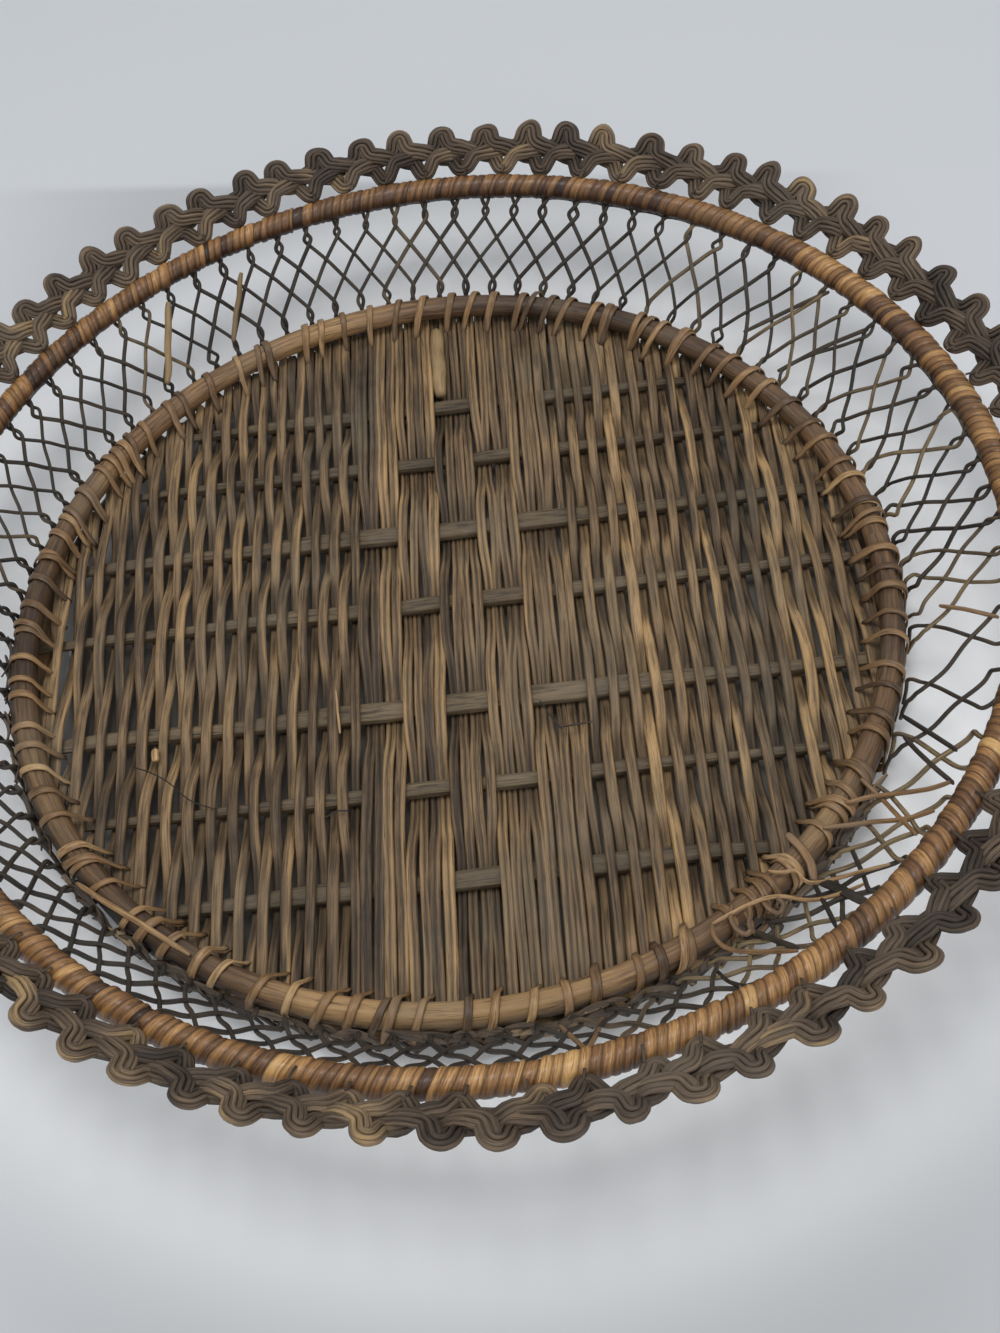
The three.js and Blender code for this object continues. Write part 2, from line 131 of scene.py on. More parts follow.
class Finish:
    """One finish: a material, its nodes and its shader."""

    def __init__(self, name):
        self.material = bpy.data.materials.new(name)
        self.material.use_nodes = True
        self.tree = self.material.node_tree
        self.shader = self.tree.nodes["Principled BSDF"]

    def node(self, kind, settings=None, inputs=None, output=0):
        """Adds a node, sets its settings, links or sets its inputs, and gives one of its outputs."""
        made = self.tree.nodes.new(kind)
        for name, value in (settings or {}).items():
            if name == "stops":
                self.set_stops(made.color_ramp, value)
            else:
                setattr(made, name, value)
        for name, value in (inputs or {}).items():
            self.join(made.inputs[name], value)
        return Field(self, made.outputs[output])

    def set_stops(self, ramp, stops):
        while len(ramp.elements) < len(stops):
            ramp.elements.new(1)
        for element, (place, colour) in zip(ramp.elements, stops):
            element.position = place
            element.color = (*colour, 1)

    def join(self, socket, value):
        if isinstance(value, Field):
            self.tree.links.new(value.socket, socket)
        else:
            socket.default_value = value

    def maths(self, operation, first, second=0.0):
        return self.node("ShaderNodeMath", {"operation": operation}, {0: first, 1: second})

    def between(self, value, low, high):
        """0 below low and 1 above high, smoothly between."""
        settings = {"interpolation_type": "SMOOTHSTEP"}
        inputs = {"Value": value, "From Min": low, "From Max": high}
        return self.node("ShaderNodeMapRange", settings, inputs)

    def mix(self, share, first, second):
        """One colour changing to another with a share of 0 to 1."""
        inputs = {0: share, 6: first, 7: second}
        return self.node("ShaderNodeMix", {"data_type": "RGBA"}, inputs, output=2)

    def colours(self, value, stops):
        return self.node("ShaderNodeValToRGB", {"stops": stops}, {"Fac": value})

    def value(self, name):
        """A number that the piece's points carry."""
        return self.node("ShaderNodeAttribute", {"attribute_name": name}, output=2)

    def noise(self, place, size, detail, roughness):
        inputs = {"Vector": place, "Scale": 1 / size, "Detail": detail, "Roughness": roughness}
        return self.node("ShaderNodeTexNoise", None, inputs)

    def place(self):
        return self.node("ShaderNodeTexCoord", output=3)

    def grain_place(self, stretch, spread):
        """A place on a strand for grain that runs along it: length over stretch, and a circle round it
        of radius spread, moved on by the strand's own number so that no two strands are alike."""
        split = self.node("ShaderNodeUVMap", {"uv_map": "strand"})
        along = self.node("ShaderNodeSeparateXYZ", None, {0: split}, output=0)
        around = Field(self, along.socket.node.outputs[1]) * full_turn
        number = self.value("strand_number") * 37.0
        inputs = {
            0: along / stretch + number,
            1: self.maths("COSINE", around) * spread + number,
            2: self.maths("SINE", around) * spread,
        }
        return self.node("ShaderNodeCombineXYZ", None, inputs)

    def bump(self, height, distance, strength):
        inputs = {"Height": height, "Distance": distance, "Strength": strength}
        return self.node("ShaderNodeBump", None, inputs)

    def shade(self, **inputs):
        """Sets the shader's sockets, named with spaces as underscores."""
        for name, value in inputs.items():
            self.join(self.shader.inputs[name.replace("_", " ")], value)
        return self.material


def colour(red, green, blue):
    """A colour written as the eye reads it, from 0 to 255, as the shader's linear numbers."""
    share = np.array((red, green, blue)) / 255
    linear = np.where(share <= 0.04045, share / 12.92, ((share + 0.055) / 1.055) ** 2.4)
    return tuple(float(part) for part in linear)


def opaque(*shade):
    return (*colour(*shade), 1.0)


grey_dust = (126, 116, 102)
# Colours are written as red, green and blue from 0 to 255, and those of the stops follow their places.
# Grain is stretched along a strand and spread round it.
strand_finishes = {
    "weaver_rod": dict(
        stops=[(0.05, 56, 45, 33), (0.32, 100, 81, 59), (0.52, 134, 109, 79), (0.75, 162, 132, 93),
               (0.97, 192, 156, 109)],
        stretch=22 * mm, spread=2.0, dust=(128, 117, 98), dust_share=0.35, gloss=0.35,
        fibre=(46, 36, 26), fibre_share=0.7,
    ),
    "stake_wood": dict(
        stops=[(0.1, 54, 45, 35), (0.5, 102, 87, 66), (0.9, 140, 121, 92)],
        stretch=18 * mm, spread=3.0, dust=grey_dust, dust_share=0.3, gloss=0.3,
        fibre=(34, 28, 22), fibre_share=0.7,
    ),
    "hoop_wood": dict(
        stops=[(0.05, 56, 42, 31), (0.35, 94, 71, 51), (0.6, 128, 98, 68), (0.9, 172, 137, 92)],
        stretch=24 * mm, spread=3.0, dust=(124, 112, 92), dust_share=0.4, gloss=0.6,
        fibre=(58, 38, 26), fibre_share=0.6,
    ),
    "lashing_cane": dict(
        stops=[(0.1, 70, 53, 38), (0.42, 118, 91, 63), (0.72, 152, 118, 80), (0.95, 192, 158, 112)],
        stretch=12 * mm, spread=1.2, dust=grey_dust, dust_share=0.3, gloss=0.75, fibre=(70, 48, 30),
    ),
    "rim_cane": dict(
        stops=[(0.05, 50, 31, 19), (0.3, 86, 58, 36), (0.55, 130, 92, 54), (0.8, 172, 127, 76),
               (1.0, 212, 168, 108)],
        stretch=9 * mm, spread=1.5, dust=(108, 84, 58), dust_share=0.25, gloss=0.85,
        fibre=(66, 40, 24), fibre_share=0.5, coat=0.22,
    ),
    "lattice_reed": dict(
        stops=[(0.05, 40, 36, 32), (0.4, 66, 57, 47), (0.7, 104, 88, 66), (0.95, 152, 132, 96)],
        stretch=10 * mm, spread=1.0, dust=(92, 86, 78), dust_share=0.25, gloss=0.35, fibre=(34, 28, 24),
    ),
    "border_reed": dict(
        stops=[(0.05, 52, 43, 36), (0.4, 90, 75, 61), (0.68, 116, 98, 78), (0.95, 166, 138, 98)],
        stretch=12 * mm, spread=1.6, dust=(116, 104, 90), dust_share=0.35, gloss=0.35,
        fibre=(40, 32, 25), fibre_share=0.6,
    ),
    "pale_stick": dict(
        stops=[(0.1, 112, 92, 66), (0.5, 146, 122, 86), (0.9, 176, 150, 110)],
        stretch=16 * mm, spread=2.0, dust=grey_dust, dust_share=0.25, gloss=0.4, fibre=(104, 76, 50),
    ),
}


def strand_finish(
    name, stops, stretch, spread, dust, dust_share, gloss, fibre, fibre_share=0.45, coat=0.0
):
    """A rod, reed or strip of cane. Its colour comes from the strand's tone, moved by slow patches and
    by fibres along it, with a dust that lies in patches of the basket. The piece's shade value paints
    shade on it, towards a dark brown."""
    finish = Finish(name)
    place = finish.place()
    fibres = finish.noise(finish.grain_place(stretch, spread), 1.0, 4.0, 0.65)
    threads = finish.noise(finish.grain_place(stretch / 2, spread * 3.5), 1.0, 3.0, 0.7)
    patches = finish.noise(place, 26 * mm, 3.0, 0.55)
    tone = finish.value("tone") + (patches - 0.5) * 0.6 + (fibres - 0.5) * 0.9 + (threads - 0.5) * 0.7
    surface = finish.colours(tone, [(at, colour(*shade)) for at, *shade in stops])
    light = finish.between(fibres * 0.6 + threads * 0.4, 0.37, 0.5)
    surface = finish.mix((1 - light) * fibre_share, surface, opaque(*fibre))
    clouds = finish.noise(place, 38 * mm, 4.0, 0.6)
    dusty = finish.between(clouds, 0.47, 0.68) * dust_share
    surface = finish.mix(dusty, surface, opaque(*dust))
    # Painted shade: each piece's shade value darkens the colour towards a dark brown.
    surface = finish.mix(finish.value("shade"), surface, opaque(24, 18, 14))
    rough = 0.30 + (1 - gloss) * 0.45 + (fibres - 0.5) * 0.25 + dusty * 0.25
    bump = finish.bump(fibres + threads * 0.5, 0.3 * mm, 0.8)
    finish.shade(Coat_Weight=coat, Coat_Roughness=0.22)
    return finish.shade(Base_Color=surface, Roughness=rough, Normal=bump, Specular_IOR_Level=0.4)


# Surfaces
def rounded_outline(corners, squareness=1.0):
    """Points round a section of half width 1 and half thickness 1: cosine and sine, each raised to the
    power of squareness, below 1 for a squarer section."""
    angle = np.arange(corners) / corners * full_turn
    across = np.sign(np.cos(angle)) * np.abs(np.cos(angle)) ** squareness
    above = np.sign(np.sin(angle)) * np.abs(np.sin(angle)) ** squareness
    return np.stack([across, above], axis=-1)


def carry(name, centre, side, above, outline, values, ring=False):
    """A closed surface for each path: an outline carried along it. The point at a step and a corner is
    the path's centre plus the corner's first share of the side vector and second share of the above
    vector. centre, side and above are paths by steps by 3; outline is corners by 2, or steps by
    corners by 2. A ring's last step meets its first; other paths get an end face at both ends. A value
    is given for each path and step, or for each corner too."""
    paths, steps, _ = centre.shape
    shares = np.broadcast_to(outline, (steps, *outline.shape[-2:]))
    corners = shares.shape[1]
    points = (
        centre[:, :, None]
        + shares[None, :, :, 0, None] * side[:, :, None]
        + shares[None, :, :, 1, None] * above[:, :, None]
    )
    heading = np.roll(centre, -1, axis=1) - centre
    heading[:, -1] = heading[:, 0] if ring else heading[:, -2]
    rightward = np.sum(np.cross(side, above) * heading) > 0

    path = np.arange(paths)[:, None, None] * steps * corners
    step = np.arange(steps if ring else steps - 1)[None, :, None]
    corner = np.arange(corners)[None, None, :]
    next_step = (step + 1) % steps
    next_corner = (corner + 1) % corners
    places = [(step, corner), (step, next_corner), (next_step, next_corner), (next_step, corner)]
    quads = np.stack([path + s * corners + c for s, c in places], axis=-1).reshape(-1, 4)
    run = np.linalg.norm(heading, axis=-1).cumsum(axis=1)
    run = np.concatenate([np.zeros((paths, 1)), run], axis=1)
    lengths = np.stack([run[:, step[0, :, 0] + late] for late in (0, 0, 1, 1)], axis=-1)
    rounds = np.stack([np.arange(corners) + late for late in (0, 1, 1, 0)], axis=-1) / corners
    along = np.broadcast_to(lengths[:, :, None], (*lengths.shape[:2], corners, 4)).reshape(-1, 4)
    around = np.broadcast_to(rounds, (paths, lengths.shape[1], corners, 4)).reshape(-1, 4)
    if not rightward:
        quads, along, around = quads[:, ::-1], along[:, ::-1], around[:, ::-1]
    faces = [quads.ravel()]
    sizes = [np.full(len(quads), 4)]
    strand = [np.stack([along.ravel(), around.ravel()], axis=-1)]
    if not ring:
        near = path[:, 0, 0][:, None] + np.arange(corners)[::-1]
        far = path[:, 0, 0][:, None] + (steps - 1) * corners + np.arange(corners)
        ends = np.stack([near, far], axis=1).reshape(-1, corners)
        if not rightward:
            ends = ends[:, ::-1]
        faces.append(ends.ravel())
        sizes.append(np.full(len(ends), corners))
        strand.append(np.zeros((ends.size, 2)))
    numbers = np.arange(paths)[:, None] % 97
    point_values = {}
    for key, value in {"shade": np.zeros((1, 1)), "strand_number": numbers, **values}.items():
        value = value if np.ndim(value) == 3 else np.asarray(value)[..., None]
        point_values[key] = np.broadcast_to(value, (paths, steps, corners)).ravel()
    return make_mesh(name, points.reshape(-1, 3), faces, sizes, np.concatenate(strand), point_values)


def make_mesh(name, points, faces, sizes, strand, point_values):
    """Puts whole arrays of points, faces, map places and values into one smooth mesh."""
    corners = np.concatenate(faces).astype(np.int32)
    totals = np.concatenate(sizes).astype(np.int32)
    mesh = bpy.data.meshes.new(name)
    mesh.vertices.add(len(points))
    mesh.vertices.foreach_set("co", points.astype(np.float32).ravel())
    mesh.loops.add(len(corners))
    mesh.loops.foreach_set("vertex_index", corners)
    mesh.polygons.add(len(totals))
    mesh.polygons.foreach_set("loop_start", np.concatenate([[0], totals.cumsum()[:-1]]).astype(np.int32))
    mesh.polygons.foreach_set("use_smooth", np.ones(len(totals), bool))
    mesh.update(calc_edges=True)
    mesh.uv_layers.new(name="strand").data.foreach_set("uv", strand.astype(np.float32).ravel())
    for key, value in point_values.items():
        layer = mesh.attributes.new(key, "FLOAT", "POINT")
        layer.data.foreach_set("value", np.asarray(value, np.float32))
    mesh.validate()
    return mesh


def add_piece(mesh, material, nodes):
    """Shows a mesh as a piece of the basket, in place of the named nodes of the frame."""
    piece = bpy.data.objects.new(mesh.name, mesh)
    bpy.context.collection.objects.link(piece)
    mesh.materials.append(material)
    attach(piece, "root")
    if nodes:
        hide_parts(*nodes)


def add_strands(name, finish, nodes, path, sizes, outline, values, ring=False):
    """Shows strands as a piece: path holds their middle lines and the way that their upper side faces,
    and sizes their half width and half thickness."""
    centre, facing = path
    side, above = across_and_above(centre, facing, *sizes, ring)
    add_piece(carry(name, centre, side, above, outline, values, ring), finish, nodes)


def unit(vectors):
    return vectors / np.linalg.norm(vectors, axis=-1, keepdims=True)


def headings(centre, ring=False):
    """The unit direction at each step, from the step before to the step after."""
    if ring:
        return unit(np.roll(centre, -1, axis=1) - np.roll(centre, 1, axis=1))
    return unit(np.gradient(centre, axis=1))


def across_and_above(centre, outward, half_width, half_thickness, ring=False):
    """Side and above vectors of a strip that faces outward: across its heading, and square to both."""
    heading = headings(centre, ring)
    side = unit(np.cross(outward, heading))
    above = unit(np.cross(heading, side))
    return side * half_width, above * half_thickness


base_shift = np.array([-4.0, -1.0, 0]) * mm
rim_shift = np.array([1.0, 0, 0]) * mm


def on_ring(turn, radius, height):
    """Points by their turn about the basket's axis, radius and height. The old basket has settled to
    one side, so they move over from the base's shift to the rim's shift as they rise."""
    risen = np.asarray(np.clip((height - base_level) / (rim_level - base_level), 0, 1.2))[..., None]
    return ring_vector(turn, radius, height) + base_shift + (rim_shift - base_shift) * risen


def ring_vector(turn, outward, upward):
    """Vectors by the turn about the basket's axis that they face, and their lengths outward and up."""
    turn, outward, upward = np.broadcast_arrays(turn, outward, upward)
    return np.stack([outward * np.cos(turn), outward * np.sin(turn), upward], axis=-1)


def on_base(points, angle):
    """Points of the weave, turned about the basket's axis and moved over with the base."""
    x, y, z = np.moveaxis(points, -1, 0)
    turned_x = x * np.cos(angle) - y * np.sin(angle)
    turned_y = x * np.sin(angle) + y * np.cos(angle)
    return np.stack([turned_x, turned_y, z], axis=-1) + base_shift


def wander(place, seed, longest, waves=5):
    """A smooth wandering between about -1 and 1: a sum of waves of ever shorter length, the first one
    longest long, each with its own chance start."""
    starts = np.random.default_rng(seed).uniform(0, full_turn, waves)
    angle = place / longest * full_turn
    return sum(np.sin(angle * (wave + 1) + start) for wave, start in enumerate(starts)) / 2.2


def smooth_step(share):
    share = np.clip(share, 0, 1)
    return share * share * (3 - 2 * share)


# Weave of the base
figure_rows = ["C", "BD", "ACE", "BD", "ACE", "BD", "C"]
figure_bands = "ABCDE"
rods_per_band = 4
rod_lean = np.tan(np.radians(0.7))
rod_lift = 4.0 * mm


def passes_under(rod, row):
    """In the middle figure whole bands of rods dive together; beside it every other rod dives."""
    first = (rod_count - len(figure_bands) * rods_per_band) // 2 + 1
    band = (rod - first) // rods_per_band
    if 0 <= band < len(figure_bands):
        return figure_bands[band] in figure_rows[row]
    return (rod + row) % 2 == 1


def weave_ends():
    """How far each rod reaches, from the round edge of the weave, between the hoops."""
    edge = base_radius + 1.5 * mm
    outermost = np.abs(rod_places()).reshape(-1, 2).max(axis=1)
    return np.repeat(np.sqrt(edge**2 - outermost**2), 2)


def rod_places():
    return (np.arange(rod_count) - (rod_count - 1) / 2) * rod_pitch


def rod_heights(rod, y, reach):
    """Height along one rod: over or under at each stake, and level at the hoops, with a smooth rise
    between these places that stays flat for a while at each of them."""
    inner = np.sqrt(max((base_radius - 6.2 * mm) ** 2 - rod_places()[rod] ** 2, 0))
    crossed = [row for row in range(len(stake_rows)) if abs(stake_rows[row]) < inner - 5 * mm][::-1]
    grip = stake_level + 2.5 * mm
    if len(crossed) == 0:
        return np.full_like(y, grip)
    places = [-reach, -inner] + [stake_rows[row] for row in crossed] + [inner, reach]
    levels = [stake_level + (-rod_lift if passes_under(rod, row) else rod_lift) for row in crossed]
    levels = np.array([grip, grip] + levels + [grip, grip])
    place = np.interp(y, places, np.arange(len(places)))
    before = np.minimum(place.astype(int), len(places) - 2)
    share = smooth_step((place - before - 0.5) * 1.12 + 0.5)
    return levels[before] * (1 - share) + levels[before + 1] * share


def weave_rods(finishes):
    """Thin round rods from the near side to the far side, two to each long rod: up one row of the
    weave, round a half-circle bend under the hoop, and back down the next. Beside the middle figure
    each has a shallow split along its top, and in the figure each is a pair of thinner rods. Left of
    middle, on the near side, the rods part at a gap. Painted shade darkens the rods where they dip
    under, along their grooves and towards the hoops."""
    rng = np.random.default_rng(11)
    steps, bend_steps = 110, 5
    gap_x, gap_y = -34 * mm, -72 * mm
    reach = weave_ends()
    share = np.linspace(-1, 1, steps)
    y = reach[:, None] * share
    chance = rng.uniform(0, 100, rod_count)
    drift = np.stack([wander(row, int(seed * 100), 210 * mm, 3) for row, seed in zip(y, chance)])
    settle = 1 - np.abs(share) ** 6
    x = rod_places()[:, None] + rod_lean * y + 0.5 * mm * drift * settle
    z = np.stack([rod_heights(rod, y[rod], reach[rod]) for rod in range(rod_count)])
    drawn = np.where(np.arange(rod_count) % 2 == 0, 1, -1)[:, None]
    x = x + drawn * 0.3 * mm * np.cos(z / rod_lift * 2) * settle
    from_gap = rod_places()[:, None] - gap_x
    parted = np.sign(from_gap) * np.exp(-np.abs(from_gap) / (9 * mm))
    x = x + 1.4 * mm * parted * np.exp(-(((y - gap_y) / (28 * mm)) ** 2))
    rods = np.stack([x, y, z], axis=-1).reshape(-1, 2, steps, 3)
    flipped = np.arange(len(rods)) % 2 == 1
    rods[flipped] = rods[flipped, :, ::-1]
    out, back = rods[:, 0], rods[:, 1, ::-1]
    angle = np.linspace(0, np.pi, bend_steps + 2)[1:-1]
    middle = (out[:, -1:] + back[:, :1]) / 2
    half = (out[:, -1:] - back[:, :1]) / 2
    onward = np.where(flipped, -1, 1)[:, None, None] * np.array([0, 1, 0]) * rod_pitch / 2
    bend = middle + half * np.cos(angle)[None, :, None] + onward * np.sin(angle)[None, :, None]
    centre = on_base(np.concatenate([out, bend, back], axis=1), weave_turn)

    widths = rng.normal(1.98, 0.16, rod_count).clip(1.65, 2.2) * mm
    tones = (0.42 + rod_tones(rng)).reshape(-1, 2)
    half_width = per_step(widths.reshape(-1, 2), steps, bend_steps)
    tone = per_step(tones, steps, bend_steps)
    outward = np.broadcast_to([0, 0, 1.0], centre.shape)
    side, above = across_and_above(centre, outward, half_width[..., None], 1.4 * mm)
    # Painted shade: rods are darker where they dip low, under the crossing rods and stakes.
    low = smooth_step((stake_level + 1.5 * mm - centre[..., 2]) / (5.0 * mm))
    split = [wander(row, 500 + index, 60 * mm, 3) for index, row in enumerate(centre[..., 1])]
    split = smooth_step(0.6 + np.stack(split))[..., None]
    figure = (rod_count // 2 - len(figure_bands) * rods_per_band // 2) // 2
    for group, rows in enumerate(np.split(np.arange(len(centre)), [figure, len(centre) - figure])):
        outline = twin_outline() if group == 1 else split_outline()
        corner = outline[:, 0]
        depth = 0.6 if group == 1 else 0.5 * split[rows]
        # Painted shade along the groove on top of each rod, deep between the two thin rods of the figure.
        groove = depth * (np.abs(corner) < 0.01) * (outline[:, 1] > 0)
        unlike = rng.normal(0, 0.07, (len(rows), 1, 1)) * np.sign(np.round(corner, 3))
        # Painted shade: rods are darker towards the near and far hoops.
        far_out = 0.1 * (centre[rows, :, 1] / base_radius) ** 2
        values = {
            "tone": (tone[rows] - far_out)[..., None] + unlike,
            "shade": 0.25 * low[rows][..., None] + groove,
        }
        mesh = carry(f"weave_rods_{group + 1}", centre[rows], side[rows], above[rows], outline, values)
        add_piece(mesh, finishes["weaver_rod"], [weaver_nodes[row] for row in rows])


def split_outline():
    """A round section of eight corners with a shallow groove on top."""
    outline = rounded_outline(8)
    outline[1:4] = [[0.62, 0.92], [0.0, 0.72], [-0.62, 0.92]]
    return outline


def twin_outline():
    """The section of two thin rods side by side: two circles that meet in a deep groove, above and
    below."""
    right, left = np.radians([0, 50, 100, 260, 310]), np.radians([80, 130, 180, 230, 280])
    right = np.stack([0.5 + 0.5 * np.cos(right), np.sin(right)], axis=-1)
    left = np.stack([-0.5 + 0.5 * np.cos(left), np.sin(left)], axis=-1)
    return np.concatenate([right[:3], [[0, 0.15]], left, [[0, -0.15]], right[3:]])


def rod_tones(rng):
    """Most rods are grey brown, and some are tan: more of them right of the middle. Those just left of
    the middle and those far out are a little lighter."""
    place = rod_places() / base_radius
    tones = rng.normal(0.0, 0.12, rod_count)
    tan = rng.random(rod_count) < 0.16 + 0.1 * (place > 0.05)
    tones[tan] += 0.2
    near_middle = (place > -0.17) & (place < -0.03)
    far_out = np.abs(place) > 0.25
    return tones + 0.12 * near_middle + 0.04 * place + 0.05 * far_out


def per_step(pairs, steps, bend_steps):
    """A value for each half of each long rod, spread over its steps, with the mean on the bend."""
    first = np.repeat(pairs[:, :1], steps, axis=1)
    second = np.repeat(pairs[:, 1:], steps, axis=1)
    bend = np.repeat(pairs.mean(axis=1, keepdims=True), bend_steps, axis=1)
    return np.concatenate([first, bend, second], axis=1)


def stakes(finishes):
    """Flat split stakes across the base, left to right: a flat section with grooves along its top and
    underside, narrower towards both ends, and thinned where it passes between the hoops."""
    rng = np.random.default_rng(5)
    half_widths = np.array([2.9, 2.7, 3.9, 3.2, 4.1, 2.7, 3.7]) * mm
    steps, corners = 90, 48
    share = np.linspace(-1, 1, steps)
    reach = np.sqrt((base_radius + 1.2 * mm) ** 2 - (np.abs(stake_rows) + half_widths) ** 2)
    x = reach[:, None] * share
    thin = smooth_step((np.abs(x) - (reach[:, None] - 26 * mm)) / (12 * mm))
    bow = np.stack([wander(row, 60 + index, 210 * mm, 3) for index, row in enumerate(x)])
    y = stake_rows[:, None] + 0.5 * mm * bow + np.tan(np.radians(0.5)) * x
    centre = on_base(np.stack([x, y, np.full_like(x, stake_level)], axis=-1), weave_turn)
    half_thickness = 2.1 * mm * (1 - thin) + 1.1 * mm * thin
    narrowed = smooth_step((np.abs(x) - 45 * mm) / (50 * mm))
    width = half_widths[:, None] * (1 + 0.05 * bow - 0.34 * narrowed)
    facing = np.broadcast_to([0, 0, 1.0], centre.shape)
    outline = rounded_outline(corners, 0.55)
    outline[:, 1] *= 0.82 + 0.18 * np.abs(np.cos(outline[:, 0] * 2.0 * np.pi)) ** 0.6
    tone = 0.45 + rng.normal(0, 0.08, (len(stake_rows), 1))
    add_strands("stakes", finishes["stake_wood"], stake_nodes, (centre, facing),
                (width[..., None], half_thickness[..., None]), outline, {"tone": tone})


# Hoops
def ring_path(steps):
    return np.arange(steps)[None, :] / steps * full_turn


def bent_hoop(name, radius, level, thickness, seed, splits):
    """A rod bent to a ring: a round section, with a groove along it for each split place, whose radius
    wanders a little on the way round. Painted shade darkens its outer side on the near side and the
    left of the hoop, a painted highlight lightens its top on the near side, and it has darker patches."""
    steps, corners = 240, 24
    turn = ring_path(steps)
    bulge = 1 + 0.04 * wander(turn, seed, full_turn, 9)
    centre = on_ring(turn, radius + 0.25 * mm * wander(turn, seed + 1, full_turn, 4), level)
    side = ring_vector(turn, 1.0, 0.0) * (thickness / 2 * bulge)[..., None]
    above = np.broadcast_to([0, 0, thickness / 2], side.shape)
    outline = rounded_outline(corners)
    angle = np.arange(corners) / corners * full_turn
    for place in splits:
        away = np.angle(np.exp(1j * (angle - np.radians(place))))
        outline *= (1 - 0.16 * np.exp(-((away / 0.2) ** 2)))[:, None]
    near = smooth_step(0.4 - 0.9 * np.sin(turn))[..., None]
    left = smooth_step((-np.cos(turn - 0.2) - 0.55) / 0.4)[..., None]
    outer = smooth_step(1.5 * np.cos(angle + 0.35) - 0.2)
    # Painted highlight: on the near side the top of the section is lighter and its underside darker.
    tone = 0.45 + 0.22 * wander(turn, seed + 2, full_turn, 7)[..., None] + 0.2 * near * np.sin(angle)
    patches = smooth_step(wander(turn, seed + 3, full_turn, 11) - 0.2)[..., None]
    # Painted shade on the outer half of the near side and over the left of the hoop; the patches are darker
    # places along it.
    shade = 0.62 * near * outer + 0.42 * left + 0.2 * patches
    return carry(name, centre, side, above, outline, {"tone": tone, "shade": shade}, ring=True)


def hoops(finishes):
    for node, sizes, seed, splits in [
        ("base_hoop", (base_radius, base_level, base_thickness), 21, [100, 50, -20]),
        ("bottom_hoop", (bottom_radius, bottom_level, bottom_thickness), 31, []),
    ]:
        mesh = bent_hoop(f"{node}_rod", *sizes, seed, splits)
        add_piece(mesh, finishes["hoop_wood"], [node])


def lashing_path(start, end, lift, inner, drop):
    """One turn of the lashing over the base hoop. It comes out of the weave inside the hoop, rises in a
    straight slope to the hoop, follows the hoop's round upper side, and goes down outside to the
    bottom hoop, where it tucks in. start and end are its turns about the axis inside and outside,
    lift its distance from the hoop, inner how far inside the hoop it comes out, and drop how low it
    goes."""
    reach = base_thickness / 2 + lift
    angle = np.linspace(np.radians(142), np.radians(-20), 14)
    out = reach[:, None] * np.cos(angle)
    rise = reach[:, None] * np.sin(angle)
    foot = (stake_level + rod_lift + 1.5 * mm) - base_level + 0 * inner
    first = np.stack([-inner - 2.4 * mm, -inner - 1.2 * mm, -inner, (out[:, 0] - inner) / 2], axis=1)
    slope_rise = (rise[:, 0] + foot) / 2 + 0.3 * mm
    first_rise = np.stack([foot - 3.2 * mm, foot - 1.2 * mm, foot, slope_rise], axis=1)
    last = np.stack([reach + 0.2 * mm, reach + 0.1 * mm, reach - 2.6 * mm], axis=1)
    last_rise = np.stack([-drop * 0.6, -drop, -drop - 1.5 * mm], axis=1)
    out = np.concatenate([first, out, last], axis=1)
    rise = np.concatenate([first_rise, rise, last_rise], axis=1)
    length = np.hypot(np.diff(out, axis=1), np.diff(rise, axis=1)).cumsum(axis=1)
    share = np.concatenate([0 * start[:, None], length / length[:, -1:]], axis=1)
    turn = start[:, None] + (end - start)[:, None] * share
    centre = on_ring(turn, base_radius + out, base_level + rise)
    slope = np.stack([np.gradient(out, axis=1), np.gradient(rise, axis=1)], axis=-1)
    facing = ring_vector(turn, -slope[..., 1], slope[..., 0])
    return centre, facing


def lashing(finishes):
    """Strips of cane round the base hoop, each a flat rounded section on its turn of the lashing, some
    in fans of two or three that share their inner end. Each narrows where it enters the weave, and is
    painted darker there, as shade."""
    rng = np.random.default_rng(8)
    count, extra = 92, 24
    start = (np.arange(count) + rng.normal(0, 0.16, count)) / count * full_turn
    slant = rng.normal(-8.0, 2.4, count) * mm
    fans = rng.choice(count, extra, replace=False)
    start = np.concatenate([start, start[fans] + rng.normal(0, 1.2, extra) * mm / base_radius])
    slant = np.concatenate([slant, slant[fans] + rng.normal(0, 6.0, extra) * mm])
    end = start + slant / base_radius
    total = count + extra
    lift = rng.uniform(0.4, 0.8, total) * mm
    lift[count:] += 0.55 * mm
    inner = rng.uniform(7.0, 9.5, total) * mm
    drop = rng.uniform(9.5, 13.0, total) * mm
    centre, facing = lashing_path(start, end, lift, inner, drop)
    share = np.linspace(0, 1, centre.shape[1])
    taper = 0.65 + 0.35 * smooth_step(share / 0.2)
    half_width = (rng.uniform(1.2, 1.7, total)[:, None] * taper)[..., None] * mm
    tone = (0.56 + rng.normal(0, 0.16, total))[:, None]
    # Painted shade where each strip enters the weave.
    entry_shade = 0.6 * (1 - smooth_step(share / 0.16))[None]
    add_strands("base_lashing_strips", finishes["lashing_cane"], ["base_lashing"],
                (centre, facing), (half_width, 0.4 * mm), rounded_outline(8, 0.8),
                {"tone": tone, "shade": entry_shade})


# Side lattice
lattice_pairs = 92
foot_radius = base_radius + base_thickness / 2 + 2.2 * mm
lattice_slope = np.hypot(rim_radius - foot_radius, rim_level - base_level)
lattice_lean = np.arctan2(rim_level - base_level, rim_radius - foot_radius)
lattice_top = lattice_slope - rim_thickness / 2 + 1.4 * mm
lattice_pitch = full_turn / lattice_pairs
lattice_start = np.radians(1.6)


